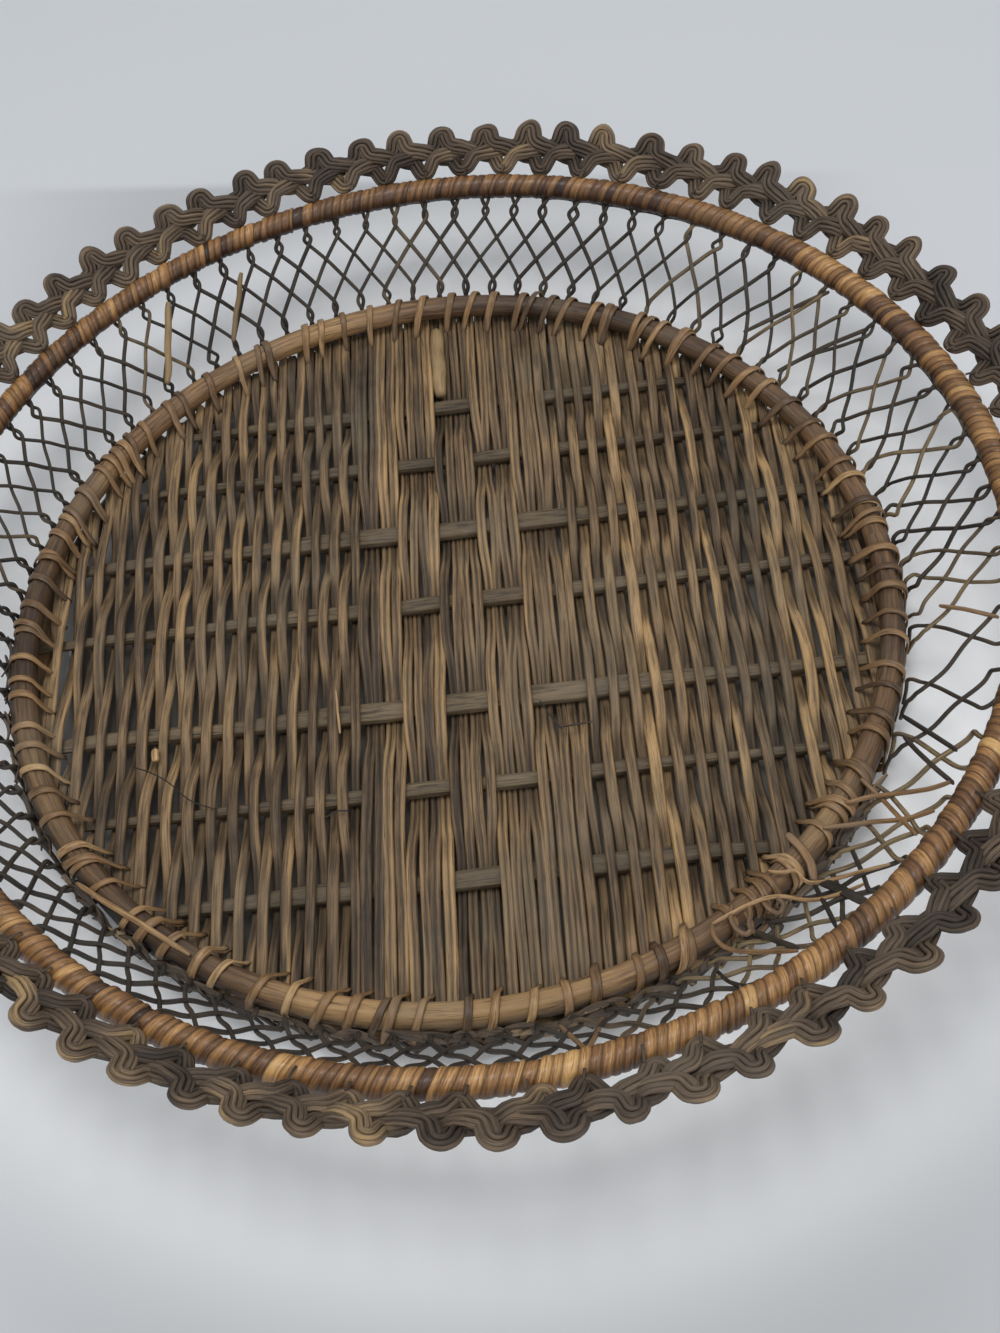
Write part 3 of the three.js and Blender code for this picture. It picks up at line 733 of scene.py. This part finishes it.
def on_lattice(turn, rise, out):
    """Points on the side, by turn, by rise up the slope from the base hoop's level, and by distance
    outward of the slope. Below the base hoop's level the side hangs straight down."""
    above = np.maximum(rise, 0)
    below = np.minimum(rise, 0)
    lean = np.pi / 2 + (lattice_lean - np.pi / 2) * smooth_step((rise + 2 * mm) / (5 * mm))
    radius = foot_radius + above * np.cos(lattice_lean) + out * np.sin(lean)
    height = base_level + above * np.sin(lattice_lean) + below - out * np.cos(lean)
    return on_ring(turn, radius, height)


def reed_course(share, hand, high_eye, low_eye, loose):
    """Half of a reed's course, from the crown of its arch at the rim down to its foot, as its place in
    pitches, rise and distance outward. hand is 1 where it runs towards the right below, and the eyes
    say how far the reeds of a pair part in the middle of a twist.
    Crown to twist: a quarter of an arch. Twist: over its partner, out round an eye, and back under it.
    Then straight across the open side, over and under two others, to the lower twist with its new
    partner, and below it the reed fans out and goes down outside the base hoop. Where loose is 1, the
    lower twist has come undone and the reed runs straight on."""
    reed = 0.8 * mm
    arch_height = 0.8 * mm
    high_twist = lattice_top - arch_height
    mesh_top = high_twist - 8.0 * mm
    low_twist, low_twist_end, foot = 6.8 * mm, 0.8 * mm, -13.0 * mm
    marks = np.array([0, 0.12, 0.36, 0.62, 0.88, 1.0])
    arch, twist, field, low, fan = [
        np.clip((share - marks[part]) / (marks[part + 1] - marks[part]), 0, 1) for part in range(5)
    ]
    around = 1.5 * np.pi * twist
    eye = reed * (1 + high_eye * np.cos(around) ** 2 * (twist > 1 / 3) + low_eye * np.sin(np.pi * low) ** 2)
    aside = np.where(field > 0, 0, np.cos(around)) + np.sin(np.pi * low) * (1 - loose)
    place = hand * (
        0.5 * (1 - np.sin(arch * np.pi / 2))
        + eye / (foot_radius * lattice_pitch) * aside * np.sin(arch * np.pi / 2) ** 2
        + 1.5 * field - 0.55 * fan**1.3 + loose * (0.2 * field + 0.15 * low + 0.5 * fan)
    )
    rise = (
        lattice_top - arch_height * (1 - np.cos(arch * np.pi / 2))
        - (high_twist - mesh_top) * twist
        - (mesh_top - low_twist) * field
        - (low_twist - low_twist_end) * low
        + (foot - low_twist_end) * fan
    )
    crossing = np.where(field > 0, -np.cos(3 * np.pi * field), np.sin(around))
    out = hand * reed * np.where(low > 0, np.cos(np.pi * low), crossing) * (1 - smooth_step(fan * 2))
    return place, rise, out


def soften(path, rounds=2):
    """Rounds the corners of paths by the mean of each step and its two neighbours, in some rounds."""
    for _ in range(rounds):
        inner = (path[..., :-2] + path[..., 1:-1] + path[..., 2:]) / 3
        path = np.concatenate([path[..., :1], inner, path[..., -1:]], axis=-1)
    return path


def lattice(finishes):
    """The open side: each reed goes from its foot up through two twists to the rim, over in an arch to
    the next pair, and down again. Some twists are open eyes, others are closed. Every other reed has
    gone where the lower twists are loose."""
    rng = np.random.default_rng(17)
    steps = 64
    share = np.linspace(0, 1, steps)
    eyes = rng.choice([0.1, 0.4, 0.9, 1.6], (2, 2 * lattice_pairs), p=[0.35, 0.3, 0.2, 0.15])
    pair = np.arange(lattice_pairs)
    middle_turn = lattice_start + pair[:, None] * lattice_pitch
    loose = smooth_step((np.cos(middle_turn + np.radians(31)) - 0.945) / 0.03)
    eyes[1] *= np.repeat(0.35 + 0.65 * smooth_step(0.7 + np.cos(middle_turn[:, 0] - 0.6)), 2)
    halves = []
    for home, hand in ((1, -1), (0, 1)):
        high_eye = eyes[0, (2 * (pair + home)) % (2 * lattice_pairs)][:, None]
        low_eye = eyes[1, (2 * (pair + home) + 3 * hand) % (2 * lattice_pairs)][:, None]
        place, rise, out = reed_course(share[None, :], hand, high_eye, low_eye, loose)
        halves.append(np.stack(np.broadcast_arrays(pair[:, None] + home + place, rise, out)))
    up_side, down_side = halves
    course = soften(np.concatenate([up_side[..., ::-1], down_side[..., 1:]], axis=-1))
    place, rise, out = course
    turn = lattice_start + place * lattice_pitch
    near_right = 0.5 + 0.5 * np.cos(turn - np.radians(-30))
    length_along = np.linspace(0, 1, place.shape[1])
    uneven = np.stack([wander(length_along, 300 + index, 0.8, 3) for index in pair])
    turn = turn + (0.03 + 0.09 * near_right) * uneven * lattice_pitch
    rise = rise + 0.6 * mm * wander(turn, 41, full_turn, 9) * smooth_step(rise / (20 * mm))
    centre = on_lattice(turn, rise, out)
    facing = on_lattice(turn, rise, out + mm) - centre
    half = rng.uniform(0.74, 0.92, lattice_pairs)[:, None, None] * mm
    warm = 0.5 + 0.5 * np.cos(turn[:, steps] - np.radians(-35))
    tan = rng.random(lattice_pairs) < 0.06 + 0.34 * warm**2
    tone = 0.2 + rng.normal(0, 0.08, lattice_pairs) + 0.42 * tan + 0.1 * warm
    kept = (loose[:, 0] < 0.5) | (pair % 2 == 0)
    add_strands("side_lattice_reeds", finishes["lattice_reed"], ["side_lattice"],
                (centre[kept], facing[kept]), (half[kept], half[kept]), rounded_outline(6),
                {"tone": tone[kept, None]})



# Rim hoop
def rim_binding(finishes):
    """The rim hoop in its close binding: a ring whose thickness bulges over each turn of cane and
    drops to a seam between turns. Turns differ in width, height, slant and colour. Light and shade are
    painted on: it is lighter round the near right, on its upper side and in the middle of each turn,
    and has painted shade in the seams and on its underside."""
    rng = np.random.default_rng(29)
    turns, steps_per_turn, corners = 372, 8, 20
    widths = rng.lognormal(0, 0.28, turns)
    widths /= widths.sum()
    edges = np.concatenate([[0], widths.cumsum()])
    share = (np.arange(steps_per_turn) + 0.5) / steps_per_turn
    turn_number = np.repeat(np.arange(turns), steps_per_turn)
    within = np.tile(share, turns)
    place = edges[turn_number] + widths[turn_number] * within
    bulge = (1 - np.abs(2 * within - 1) ** 3.0) ** 0.6
    gap = rng.random(turns) < 0.1
    height = rng.normal(0, 0.15, turns).clip(-0.3, 0.3) * mm - 0.4 * mm * gap
    depth = 0.6 * mm
    section = rim_thickness / 2 - 0.3 * mm + height[turn_number] * (bulge > 0.2) - depth * (1 - bulge)
    angle = np.arange(corners) / corners * full_turn
    slant = (1.9 + 0.25 * rng.normal(size=turns).clip(-1, 1))[turn_number] * mm
    turn = place * full_turn
    outline = rounded_outline(corners)
    turns_on = turn[:, None] - slant[:, None] * np.cos(angle) / rim_radius
    reach = rim_radius + section[:, None] * outline[:, 0]
    level = rim_level + section[:, None] * outline[:, 1]
    points = on_ring(turns_on, reach, level)
    slow = wander(np.arange(turns), 12, 170.0, 6)
    tone = (0.4 + rng.normal(0, 0.13, turns) + 0.03 * slow - 0.25 * gap)[turn_number]
    # Painted light: the binding is lighter round the near right.
    tone = tone + 0.08 * np.cos(turn + np.radians(70))
    # Painted highlight: the upper side of the section and the middle of each turn are lighter.
    painted_highlight = 0.3 * (outline[:, 1] - 0.3) + 0.16 * (bulge[:, None] - 0.7)
    # Painted shade in the seams between turns and on the underside of the hoop.
    seam = (1 - smooth_step(bulge / 0.8)) * 0.9
    low = 0.75 * smooth_step(-outline[:, 1] + 0.15)
    shade = 1 - (1 - seam[:, None]) * (1 - low)
    values = {"tone": tone[:, None] + painted_highlight, "shade": shade, "strand_number": turn_number[:, None] % 97}
    mesh = ring_surface("rim_hoop_binding", points, values)
    add_piece(mesh, finishes["rim_cane"], ["rim_hoop"])


def ring_surface(name, points, values):
    """A closed ring from a grid of points, steps round the basket by corners round the section. Its map
    runs round the section first, as the binding does."""
    steps, corners, _ = points.shape
    step = np.arange(steps)[:, None]
    corner = np.arange(corners)[None, :]
    places = [(step, corner), (step, corner + 1), (step + 1, corner + 1), (step + 1, corner)]
    quads = np.stack([s % steps * corners + c % corners for s, c in places], axis=-1).reshape(-1, 4)
    strand = np.stack(
        [np.stack([c * 1.8 * mm + 0 * s, s * 0.1 + 0 * c], axis=-1) for s, c in places], axis=-2
    ).reshape(-1, 4, 2)
    quads, strand = quads[:, ::-1], strand[:, ::-1]
    point_values = {key: np.broadcast_to(value, (steps, corners)).ravel() for key, value in values.items()}
    return make_mesh(name, points.reshape(-1, 3), [quads.ravel()], [np.full(len(quads), 4)],
                     strand.reshape(-1, 2), point_values)


# Plaited border
border_waves = 25
border_lean = np.radians(31.5)
border_inner = rim_thickness / 2 - 0.6 * mm
border_outer = 29 * mm
border_middle = 16.3 * mm


def on_border(turn, out, lift):
    """Points on the band that leans outward from the rim hoop: out is measured across the band from
    the hoop's middle, and lift square to the band. At the left the band is narrower and steeper."""
    away = np.abs(np.angle(np.exp(1j * (turn + np.radians(5)))))
    lean = border_lean + np.radians(5.5) * smooth_step((away - np.radians(82)) / np.radians(24))
    narrower = smooth_step(0.5 - 0.5 * np.cos(turn + np.radians(10)))
    out = border_inner + (out - border_inner) * (1 - 0.09 * narrower)
    radius = rim_radius + out * np.cos(lean) - lift * np.sin(lean)
    height = rim_level + out * np.sin(lean) + lift * np.cos(lean)
    return on_ring(turn, radius, height)


def plait_quarter(wave, swing, steep, knob):
    """A quarter wave of a strand's middle: a straight run at a low slope, a bend up to a steep neck,
    the straight neck, and half of a round knob. The run and the neck take up what the wave and the
    swing leave for them. Gives the place along and across the band, the heading, how sharply it
    turns, and the lift: up to 1 where it crosses its neighbour, a third of the way, and back to 0."""
    low, bend = np.radians(16), 3.3 * mm
    along_left = wave / 4 - bend * (np.sin(steep) - np.sin(low)) - knob * np.sin(steep)
    across_left = swing - bend * (np.cos(low) - np.cos(steep)) - knob * (1 - np.cos(steep))
    slopes = np.array([[np.cos(low), np.cos(steep)], [np.sin(low), np.sin(steep)]])
    run, neck = np.linalg.solve(slopes, [along_left, across_left])
    marks = np.array([0, run, bend * (steep - low), neck, knob * steep]).cumsum()
    kept = np.interp(np.arange(14), [0, 3, 7, 8, 13], marks)
    way = np.linspace(0, marks[-1], 601)
    heading = np.interp(way, marks, [low, low, steep, steep, 0])
    step = way[1]
    along = np.concatenate([[0], (np.cos((heading[1:] + heading[:-1]) / 2) * step).cumsum()])
    across = np.concatenate([[0], (np.sin((heading[1:] + heading[:-1]) / 2) * step).cumsum()])
    turning = np.gradient(heading, step)
    crossing = wave / 12 / np.cos(low)
    down = np.cos((way - crossing) / (marks[-1] - crossing) * np.pi / 2)
    lift = np.where(way < crossing, np.sin(way / crossing * np.pi / 2), down)
    return np.stack([np.interp(kept, way, part) for part in (along, across, heading, turning, lift)])


def plait_course(wave, outer_swing, inner_swing):
    """A whole wave of a strand's middle from its four quarters. It lies over its neighbour on the way to
    an edge of the band, and under on the way back. Its knobs outside are steeper than those inside."""
    there = plait_quarter(wave, outer_swing, np.radians(75), 2.1 * mm)
    back = plait_quarter(wave, inner_swing, np.radians(62), 2.2 * mm)
    flip = np.array([[-1], [1], [-1], [1], [-1]])
    halves = []
    for quarter in (there, back):
        returning = quarter[:, :0:-1] * flip
        returning[0] += wave / 2
        halves.append(np.concatenate([quarter[:, :-1], returning], axis=1))
    halves[1] = halves[1] * np.array([[1], [-1], [-1], [-1], [1]])
    halves[1][0] += wave / 2
    return np.concatenate(halves, axis=1)


def beside_course(course, offset):
    """A rod beside a course, at an offset square to it. On the inside of a turn the rods close up to
    less than the turn's radius, so that none folds back on itself."""
    along, across, heading, turning, _ = course
    turning = (np.roll(turning, 1) + turning + np.roll(turning, -1)) / 3
    inside = np.maximum(offset * turning, 0) / 0.8
    shift = offset / (1 + inside**4) ** 0.25
    return along - shift * np.sin(heading), across + shift * np.cos(heading)


def border_strands(finishes):
    """Three strands plaited flat, each a round bundle of seven thin rods, five of them on top, round a
    flat core. Strands are a little wider in the knobs outside than in those beside the rim hoop. A
    painted highlight lightens the rods at the outer edge, and painted shade darkens a strand where it
    dips under its neighbour."""
    rng = np.random.default_rng(3)
    rod_radius, half_width, half_height, lift_height = 0.86 * mm, 2.65 * mm, 1.3 * mm, 1.5 * mm
    core_sizes = 3.0 * mm, 0.9 * mm
    angles = np.radians([0, 47, 90, 133, 180, 235, 305])
    beside = np.append(half_width * np.cos(angles), 0.0)
    raised = np.append(half_height * np.sin(angles), 0.0)[:, None]
    sizes = [np.append(np.full(len(angles), rod_radius), core)[:, None, None] for core in core_sizes]
    reach = half_width + rod_radius
    radius = rim_radius + border_middle * np.cos(border_lean)
    wave = full_turn * radius / border_waves
    outer_swing = border_outer - reach - border_middle
    inner_swing = border_middle - border_inner - 0.88 * reach
    course = plait_course(wave, outer_swing, inner_swing)
    steps = course.shape[1]
    widening = 1 + 0.08 * np.sin(np.arange(steps) / steps * full_turn)
    start = np.repeat(np.arange(border_waves) * wave, steps)
    lifted = np.tile(course[4], border_waves)[None] * lift_height
    for strand in range(3):
        out, turn = [], []
        for rod, offset in enumerate(beside):
            rod_along, rod_across = beside_course(course, widening * offset)
            moved = (start + np.tile(rod_along, border_waves)) / radius
            moved = moved - strand * full_turn / 3 / border_waves
            swing = 1 + 0.05 * wander(moved, 88 + strand, full_turn / 9, 9)
            jitter = 0.13 * mm * wander(moved, 90 + 7 * strand + rod, full_turn / 7, 23)
            out.append(border_middle + np.tile(rod_across, border_waves) * swing + jitter)
            turn.append(moved + 0.004 * wander(moved, 40 + strand, full_turn, 19))
        out, turn = np.stack(out), np.stack(turn)
        uneven = 0.2 * mm * wander(turn, 75 + strand, full_turn / 9, 13)
        lift = lifted + raised + uneven
        centre = on_border(turn, out, lift)
        facing = on_border(turn, out, lift + mm) - centre
        # Painted highlight: the rods at the outer edge of the knobs are lighter.
        outermost = smooth_step((out - border_outer + 3 * mm) / (2 * mm))
        tone = 0.39 + rng.normal(0, 0.05, (len(beside), 1))
        tone = tone + 0.08 * wander(turn, 55 + strand, full_turn, 40) + 0.12 * outermost
        # Painted shade where a strand dips under its neighbour.
        low = smooth_step((-lifted / lift_height - 0.1) / 0.9) * 0.45 + 0 * out
        add_strands(f"border_plait_{strand + 1}", finishes["border_reed"],
                    [f"border_strand_{strand + 1}"], (centre, facing), sizes, rounded_outline(6),
                    {"tone": tone, "shade": low}, ring=True)


def border_ties(finishes):
    """A thin tie at each inner turn of the plait, from the rim hoop over the turn's edge. A few of them
    start on top of the hoop."""
    rng = np.random.default_rng(77)
    count = 3 * border_waves
    steps = 10
    share = np.linspace(0, 1, steps)[None, :]
    turn = ((np.arange(count) + 0.25) / count * full_turn)[:, None]
    turn = turn + rng.normal(0, 0.03, (count, 1)) / count * full_turn - 0.006 * share
    long = np.where(rng.random((count, 1)) < 0.2, 1.0, 0.0)
    out = 5.0 * mm - 1.6 * mm * long + (3.2 + 1.6 * long) * mm * share
    lift = 3.0 * mm + 1.4 * mm * long - (1.2 + 1.4 * long) * mm * share**2
    centre = on_border(turn, out, lift + 0 * turn)
    facing = on_border(turn, out, lift + mm) - centre
    tone = 0.2 + rng.normal(0, 0.1, (count, 1))
    add_strands("border_ties", finishes["border_reed"], [], (centre, facing),
                (0.5 * mm, 0.35 * mm), rounded_outline(6), {"tone": tone})


# Mended places
def long_axis(node):
    """The two ends of a stick's middle line, from its node's own points: the middle of those at each
    end along the direction in which they reach furthest."""
    points = np.array([point.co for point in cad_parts[node].data.vertices])
    middle = points.mean(axis=0)
    direction = np.linalg.svd(points - middle, full_matrices=False)[2][0]
    along = (points - middle) @ direction
    near = points[along < along.min() + mm].mean(axis=0)
    far = points[along > along.max() - mm].mean(axis=0)
    return near, far


def mended_places(finishes):
    """The two mend sticks and the stub of a rod in the middle figure: nearly straight sticks, a little
    bowed and tapered at both ends."""
    share = np.linspace(0, 1, 24)[None, :, None]
    taper = 1 - 0.35 * (2 * np.abs(share - 0.5)) ** 8
    for node, radius, seed, tone in [
        ("mend_stick_1", 1.5 * mm, 150, 0.6),
        ("mend_stick_2", 1.15 * mm, 151, 0.3),
        ("center_rod_stub", 3.1 * mm, 160, 0.55),
    ]:
        near, far = long_axis(node)
        bow = 0.35 * mm * wander(share[..., 0], seed, 1.3, 3)
        centre = near + (far - near) * share + np.stack([bow, 0 * bow, 0 * bow], axis=-1)
        facing = np.broadcast_to([0, 0.3, 1.0], centre.shape)
        add_strands(f"{node}_wood", finishes["pale_stick"], [node], (centre, facing),
                    (radius * taper, radius * taper), rounded_outline(12), {"tone": np.array([[tone]])})


# Loose and broken strands. Each has its half width, half thickness and tone, and then the places that
# it passes, from the basket's axis and the base hoop's level, all but the tone in mm.
pale_strips = {
    "loop": (0.8, 0.4, 0.6, [(66.5, -149.8, 6.5), (65.9, -154.5, 7.0), (68.4, -159.1, 8.0),
        (72.9, -162.7, 11.5), (80.7, -167.6, 20.0), (87.6, -171.3, 26.8)]),
    "long_strip": (0.7, 0.4, 0.85, [(66.5, -149.8, 6.5), (72.0, -148.2, 8.0), (81.9, -144.7, 8.5),
        (90.3, -143.7, 8.0), (95.4, -146.7, 8.0), (100.1, -151.4, 15.6), (108.8, -152.1, 21.3),
        (113.6, -151.2, 23.0)]),
    "upper_strip": (0.7, 0.4, 0.85, [(88.3, -134.3, 6.5), (92.7, -136.4, 7.0), (97.9, -135.2, 8.0),
        (97.8, -139.5, 8.0), (100.4, -141.6, 7.0), (106.3, -143.4, 12.3), (114.4, -145.1, 18.8),
        (122.6, -147.1, 25.7)]),
    "wide_strip": (1.5, 0.4, 0.6, [(97.7, -121.3, 5.0), (100.8, -127.5, 6.5), (102.6, -133.6, 7.0),
        (102.3, -139.7, 6.0)]),
    "curl_1": (0.9, 0.4, 0.45, [(74.4, -144.6, 7.0), (72.2, -148.9, 8.0), (73.7, -154.1, 8.0),
        (76.7, -156.3, 8.0), (78.9, -153.6, 9.0), (77.6, -148.1, 8.0)]),
    "curl_2": (0.9, 0.4, 0.35, [(79.2, -143.6, 7.0), (79.2, -149.1, 9.0), (77.3, -153.4, 9.0),
        (79.8, -156.8, 8.0), (83.9, -153.2, 7.0)]),
    "curl_3": (0.9, 0.4, 0.4, [(83.7, -142.9, 7.0), (85.0, -148.2, 8.0), (88.5, -150.4, 7.0),
        (90.7, -147.4, 8.0), (87.9, -144.0, 8.0)]),
    "right_1": (0.85, 0.7, 0.6, [(126.7, -105.5, 6.0), (131.3, -113.1, 5.6), (132.1, -124.9, 15.0),
        (133.3, -138.2, 25.6)]),
    "right_2": (0.85, 0.7, 0.6, [(119.4, -113.9, 6.5), (127.2, -112.6, 6.0), (136.7, -116.7, 13.0),
        (143.4, -121.2, 21.6), (149.6, -122.4, 27.1)]),
    "right_3": (0.85, 0.7, 0.55, [(109.6, -121.8, 6.5), (118.7, -122.0, 6.0), (125.0, -122.7, 7.5),
        (132.9, -129.5, 19.1), (140.8, -131.6, 26.5)]),
    "right_4": (0.8, 0.7, 0.6, [(171.5, -43.0, 10.4), (176.8, -51.1, 18.0), (183.0, -62.7, 27.4)]),
    "near_1": (0.8, 0.6, 0.6, [(13.3, -174.7, 3.0), (17.0, -185.8, 19.3), (20.1, -193.6, 29.5)]),
    "near_2": (0.8, 0.6, 0.6, [(27.0, -174.2, 3.0), (23.8, -184.9, 19.2), (20.2, -192.6, 28.2)]),
    "left_rod": (1.0, 0.8, 0.75, [(-142.7, -100.2, 5.0), (-133.1, -109.0, 6.0), (-123.7, -116.4, 6.0),
        (-113.5, -125.0, 6.0), (-103.4, -133.4, 6.0)]),
    "sliver": (0.45, 0.4, 0.95, [(-50.8, -31.0, -3.9), (-50.6, -40.0, -3.7), (-50.3, -50.0, -3.9)]),
    "knot": (1.5, 0.7, 0.8, [(-118.9, -45.0, -4.1), (-118.8, -47.5, -3.9), (-118.6, -50.0, -4.1)]),
}
dark_strips = {
    "splinter": (1.7, 0.4, 0.2, [(103.5, -141.5, 8.7), (106.9, -149.7, 18.5), (111.1, -161.4, 30.9)]),
    "reed": (0.8, 0.8, 0.1, [(101.8, -141.3, 6.5), (101.2, -153.7, 17.8), (100.4, -166.0, 28.6)]),
    "curl": (1.5, 0.4, 0.2, [(74.6, -151.6, 6.0), (78.7, -157.0, 5.0), (84.0, -157.3, 6.0),
        (88.6, -153.1, 6.0)]),
    "arm": (1.0, 0.5, 0.3, [(78.8, -154.5, 7.0), (83.7, -163.6, 18.0), (88.1, -169.9, 25.5)]),
    "low_reed": (0.7, 0.6, 0.2, [(65.0, -164.0, 3.0), (65.7, -175.3, 20.5), (69.6, -180.6, 28.1),
        (77.1, -180.1, 30.9)]),
    "top_right_1": (1.0, 0.6, 0.4, [(134.0, 112.5, 7.2), (146.9, 109.8, 16.1), (159.2, 106.8, 25.1),
        (166.1, 104.7, 29.9)]),
    "top_right_2": (1.0, 0.6, 0.4, [(144.0, 91.5, 2.8), (162.6, 87.4, 17.6), (173.7, 83.4, 26.1),
        (176.4, 82.3, 28.2)]),
    "right_1": (0.85, 0.8, 0.15, [(148.6, -81.1, 1.8), (152.0, -95.9, 13.3), (155.2, -109.3, 23.3)]),
    "right_2": (0.85, 0.8, 0.3, [(145.7, -91.1, 4.7), (146.5, -101.6, 11.7), (147.8, -113.5, 20.2),
        (149.3, -123.2, 27.4)]),
    "stem_1": (0.25, 0.25, 0.0, [(-126.7, -51.5, -3.6), (-119.1, -57.4, 0.5), (-112.1, -63.0, 0.8),
        (-105.2, -71.4, -0.5), (-96.4, -74.3, -3.8)]),
    "stem_2": (0.3, 0.3, 0.1, [(23.8, -48.8, -3.6), (27.0, -57.0, -3.0), (30.0, -62.5, -3.4)]),
    "stem_3": (0.35, 0.3, 0.3, [(29.5, -61.5, -3.3), (35.0, -61.8, -2.8), (41.2, -61.2, -3.4)]),
    "stem_4": (0.3, 0.3, 0.1, [(-58.0, -84.5, -3.6), (-53.0, -82.5, -3.0), (-49.0, -83.0, -3.5)]),
}


def loose_ends(finishes):
    """The loose and broken strands, each a rounded section along a smooth curve through its places."""
    share = np.linspace(0, 1, 44)
    for name, finish, slot, strips in [
        ("loose_pale_strips", "lashing_cane", "cane", pale_strips),
        ("loose_dark_strips", "lattice_reed", "lattice_reed", dark_strips),
    ]:
        paths = []
        for *_, places in strips.values():
            places = np.array(places) * mm + [0, 0, base_level]
            known = np.linspace(0, 1, len(places))
            paths.append(np.stack([np.interp(share, known, part) for part in places.T]))
        centre = np.moveaxis(soften(np.stack(paths), 12), 1, 2)
        sizes = np.array([strip[:3] for strip in strips.values()])
        taper = 1 - 0.4 * np.abs(2 * share - 1) ** 8
        half_width = sizes[:, :1] * mm * taper
        facing = np.broadcast_to([0, -0.35, 1.0], centre.shape)
        add_strands(name, finishes[finish], [], (centre, facing),
                    (half_width[..., None], sizes[:, 1, None, None] * mm), rounded_outline(8, 0.8),
                    {"tone": sizes[:, 2:]})


def bark_bits(finishes):
    """Short bent splinters of bark left on the outside of the base hoop, at the left and on the near
    side."""
    rng = np.random.default_rng(61)
    count = 130
    turn = np.radians(rng.uniform(178, 322, (count, 1)))
    share = np.linspace(-0.5, 0.5, 9)[None, :]
    length = rng.uniform(7, 20, (count, 1)) * mm
    tilt = rng.normal(0, 0.3, (count, 1))
    bent = rng.normal(0, 0.25, (count, 1)) * 4 * share**2
    rise = rng.uniform(-8.0, 1.5, (count, 1)) * mm + length * (tilt * share + bent * 0.5)
    out = base_thickness / 2 + rng.uniform(0.5, 2.6, (count, 1)) * mm + 0.12 * length * 4 * share**2
    centre = on_ring(turn + length * share / base_radius, base_radius + out, base_level + rise)
    facing = ring_vector(turn + 0 * share, 0.8, 0.6)
    taper = 1 - 0.75 * (2 * np.abs(share)) ** 3
    half_width = rng.uniform(0.7, 1.9, (count, 1)) * mm * taper
    tone = 0.25 + rng.normal(0, 0.12, (count, 1)) + 0.4 * (rng.random((count, 1)) < 0.12)
    add_strands("bark_bits", finishes["border_reed"], [], (centre, facing),
                (half_width[..., None], 0.35 * mm), rounded_outline(6), {"tone": tone})


# Stage and light
def stage():
    """A pale floor under soft light, with light and shade painted on it: a painted shade darkens the
    middle of its near part, a painted light brightens a ring round the basket, and a painted shadow
    makes it dark below the weave, where little light comes."""
    size = 6.0
    painted_light_ring = 0.2, 0.285
    painted_shadow_under_weave = 0.152, 0.165
    mesh = bpy.data.meshes.new("floor")
    corners = [(-size, -size, 0), (size, -size, 0), (size, size, 0), (-size, size, 0)]
    mesh.from_pydata(corners, [], [(0, 1, 2, 3)])
    floor = bpy.data.objects.new("floor", mesh)
    bpy.context.collection.objects.link(floor)
    finish = Finish("floor")
    split = finish.node("ShaderNodeSeparateXYZ", None, {0: finish.place()}, output=0)
    far = split * 0.195 + Field(finish, split.socket.node.outputs[1])
    share = finish.between(far, 0.276, 0.284)
    # Painted shade: the near part of the floor is darker in its middle.
    middle = finish.between(split * split, 0.0, 0.06)
    near_shade = finish.mix(middle, opaque(182, 184, 186), opaque(208, 210, 213))
    surface = finish.mix(share, near_shade, opaque(207, 210, 213))
    away = finish.node("ShaderNodeVectorMath", {"operation": "LENGTH"}, {0: finish.place()}, output=1)
    # Painted light: a brighter ring round the basket.
    surface = finish.mix(1 - finish.between(away, *painted_light_ring), surface, opaque(244, 245, 246))
    # Painted shadow: the floor below the weave is dark.
    surface = finish.mix(1 - finish.between(away, *painted_shadow_under_weave), surface, opaque(112, 108, 102))
    mesh.materials.append(finish.shade(Base_Color=surface, Roughness=0.9))

    world = bpy.data.worlds.new("world")
    world.use_nodes = True
    background = world.node_tree.nodes["Background"]
    background.inputs["Color"].default_value = opaque(240, 243, 247)
    background.inputs["Strength"].default_value = 0.56
    bpy.context.scene.world = world
    add_lamp("ceiling", (-0.1, 0.0, 1.5), 0.6, 9.0)
    add_lamp("room", (0.7, -1.3, 1.1), 1.6, 8.0)


def add_lamp(name, place, size, power):
    """A square soft lamp that faces the basket."""
    lamp = bpy.data.objects.new(name, bpy.data.lights.new(name, "AREA"))
    lamp.data.shape = "SQUARE"
    lamp.data.size = size
    lamp.data.energy = power
    lamp.location = place
    lamp.rotation_euler = (-Vector(place)).to_track_quat("-Z", "Y").to_euler()
    bpy.context.collection.objects.link(lamp)


def build():
    aim_camera()
    stage()
    finishes = {name: strand_finish(name, **sizes) for name, sizes in strand_finishes.items()}
    for part in (weave_rods, stakes, hoops, lashing, lattice, rim_binding, border_strands, border_ties,
                 mended_places, loose_ends, bark_bits):
        part(finishes)
    bpy.context.scene.view_settings.view_transform = "Standard"


build()
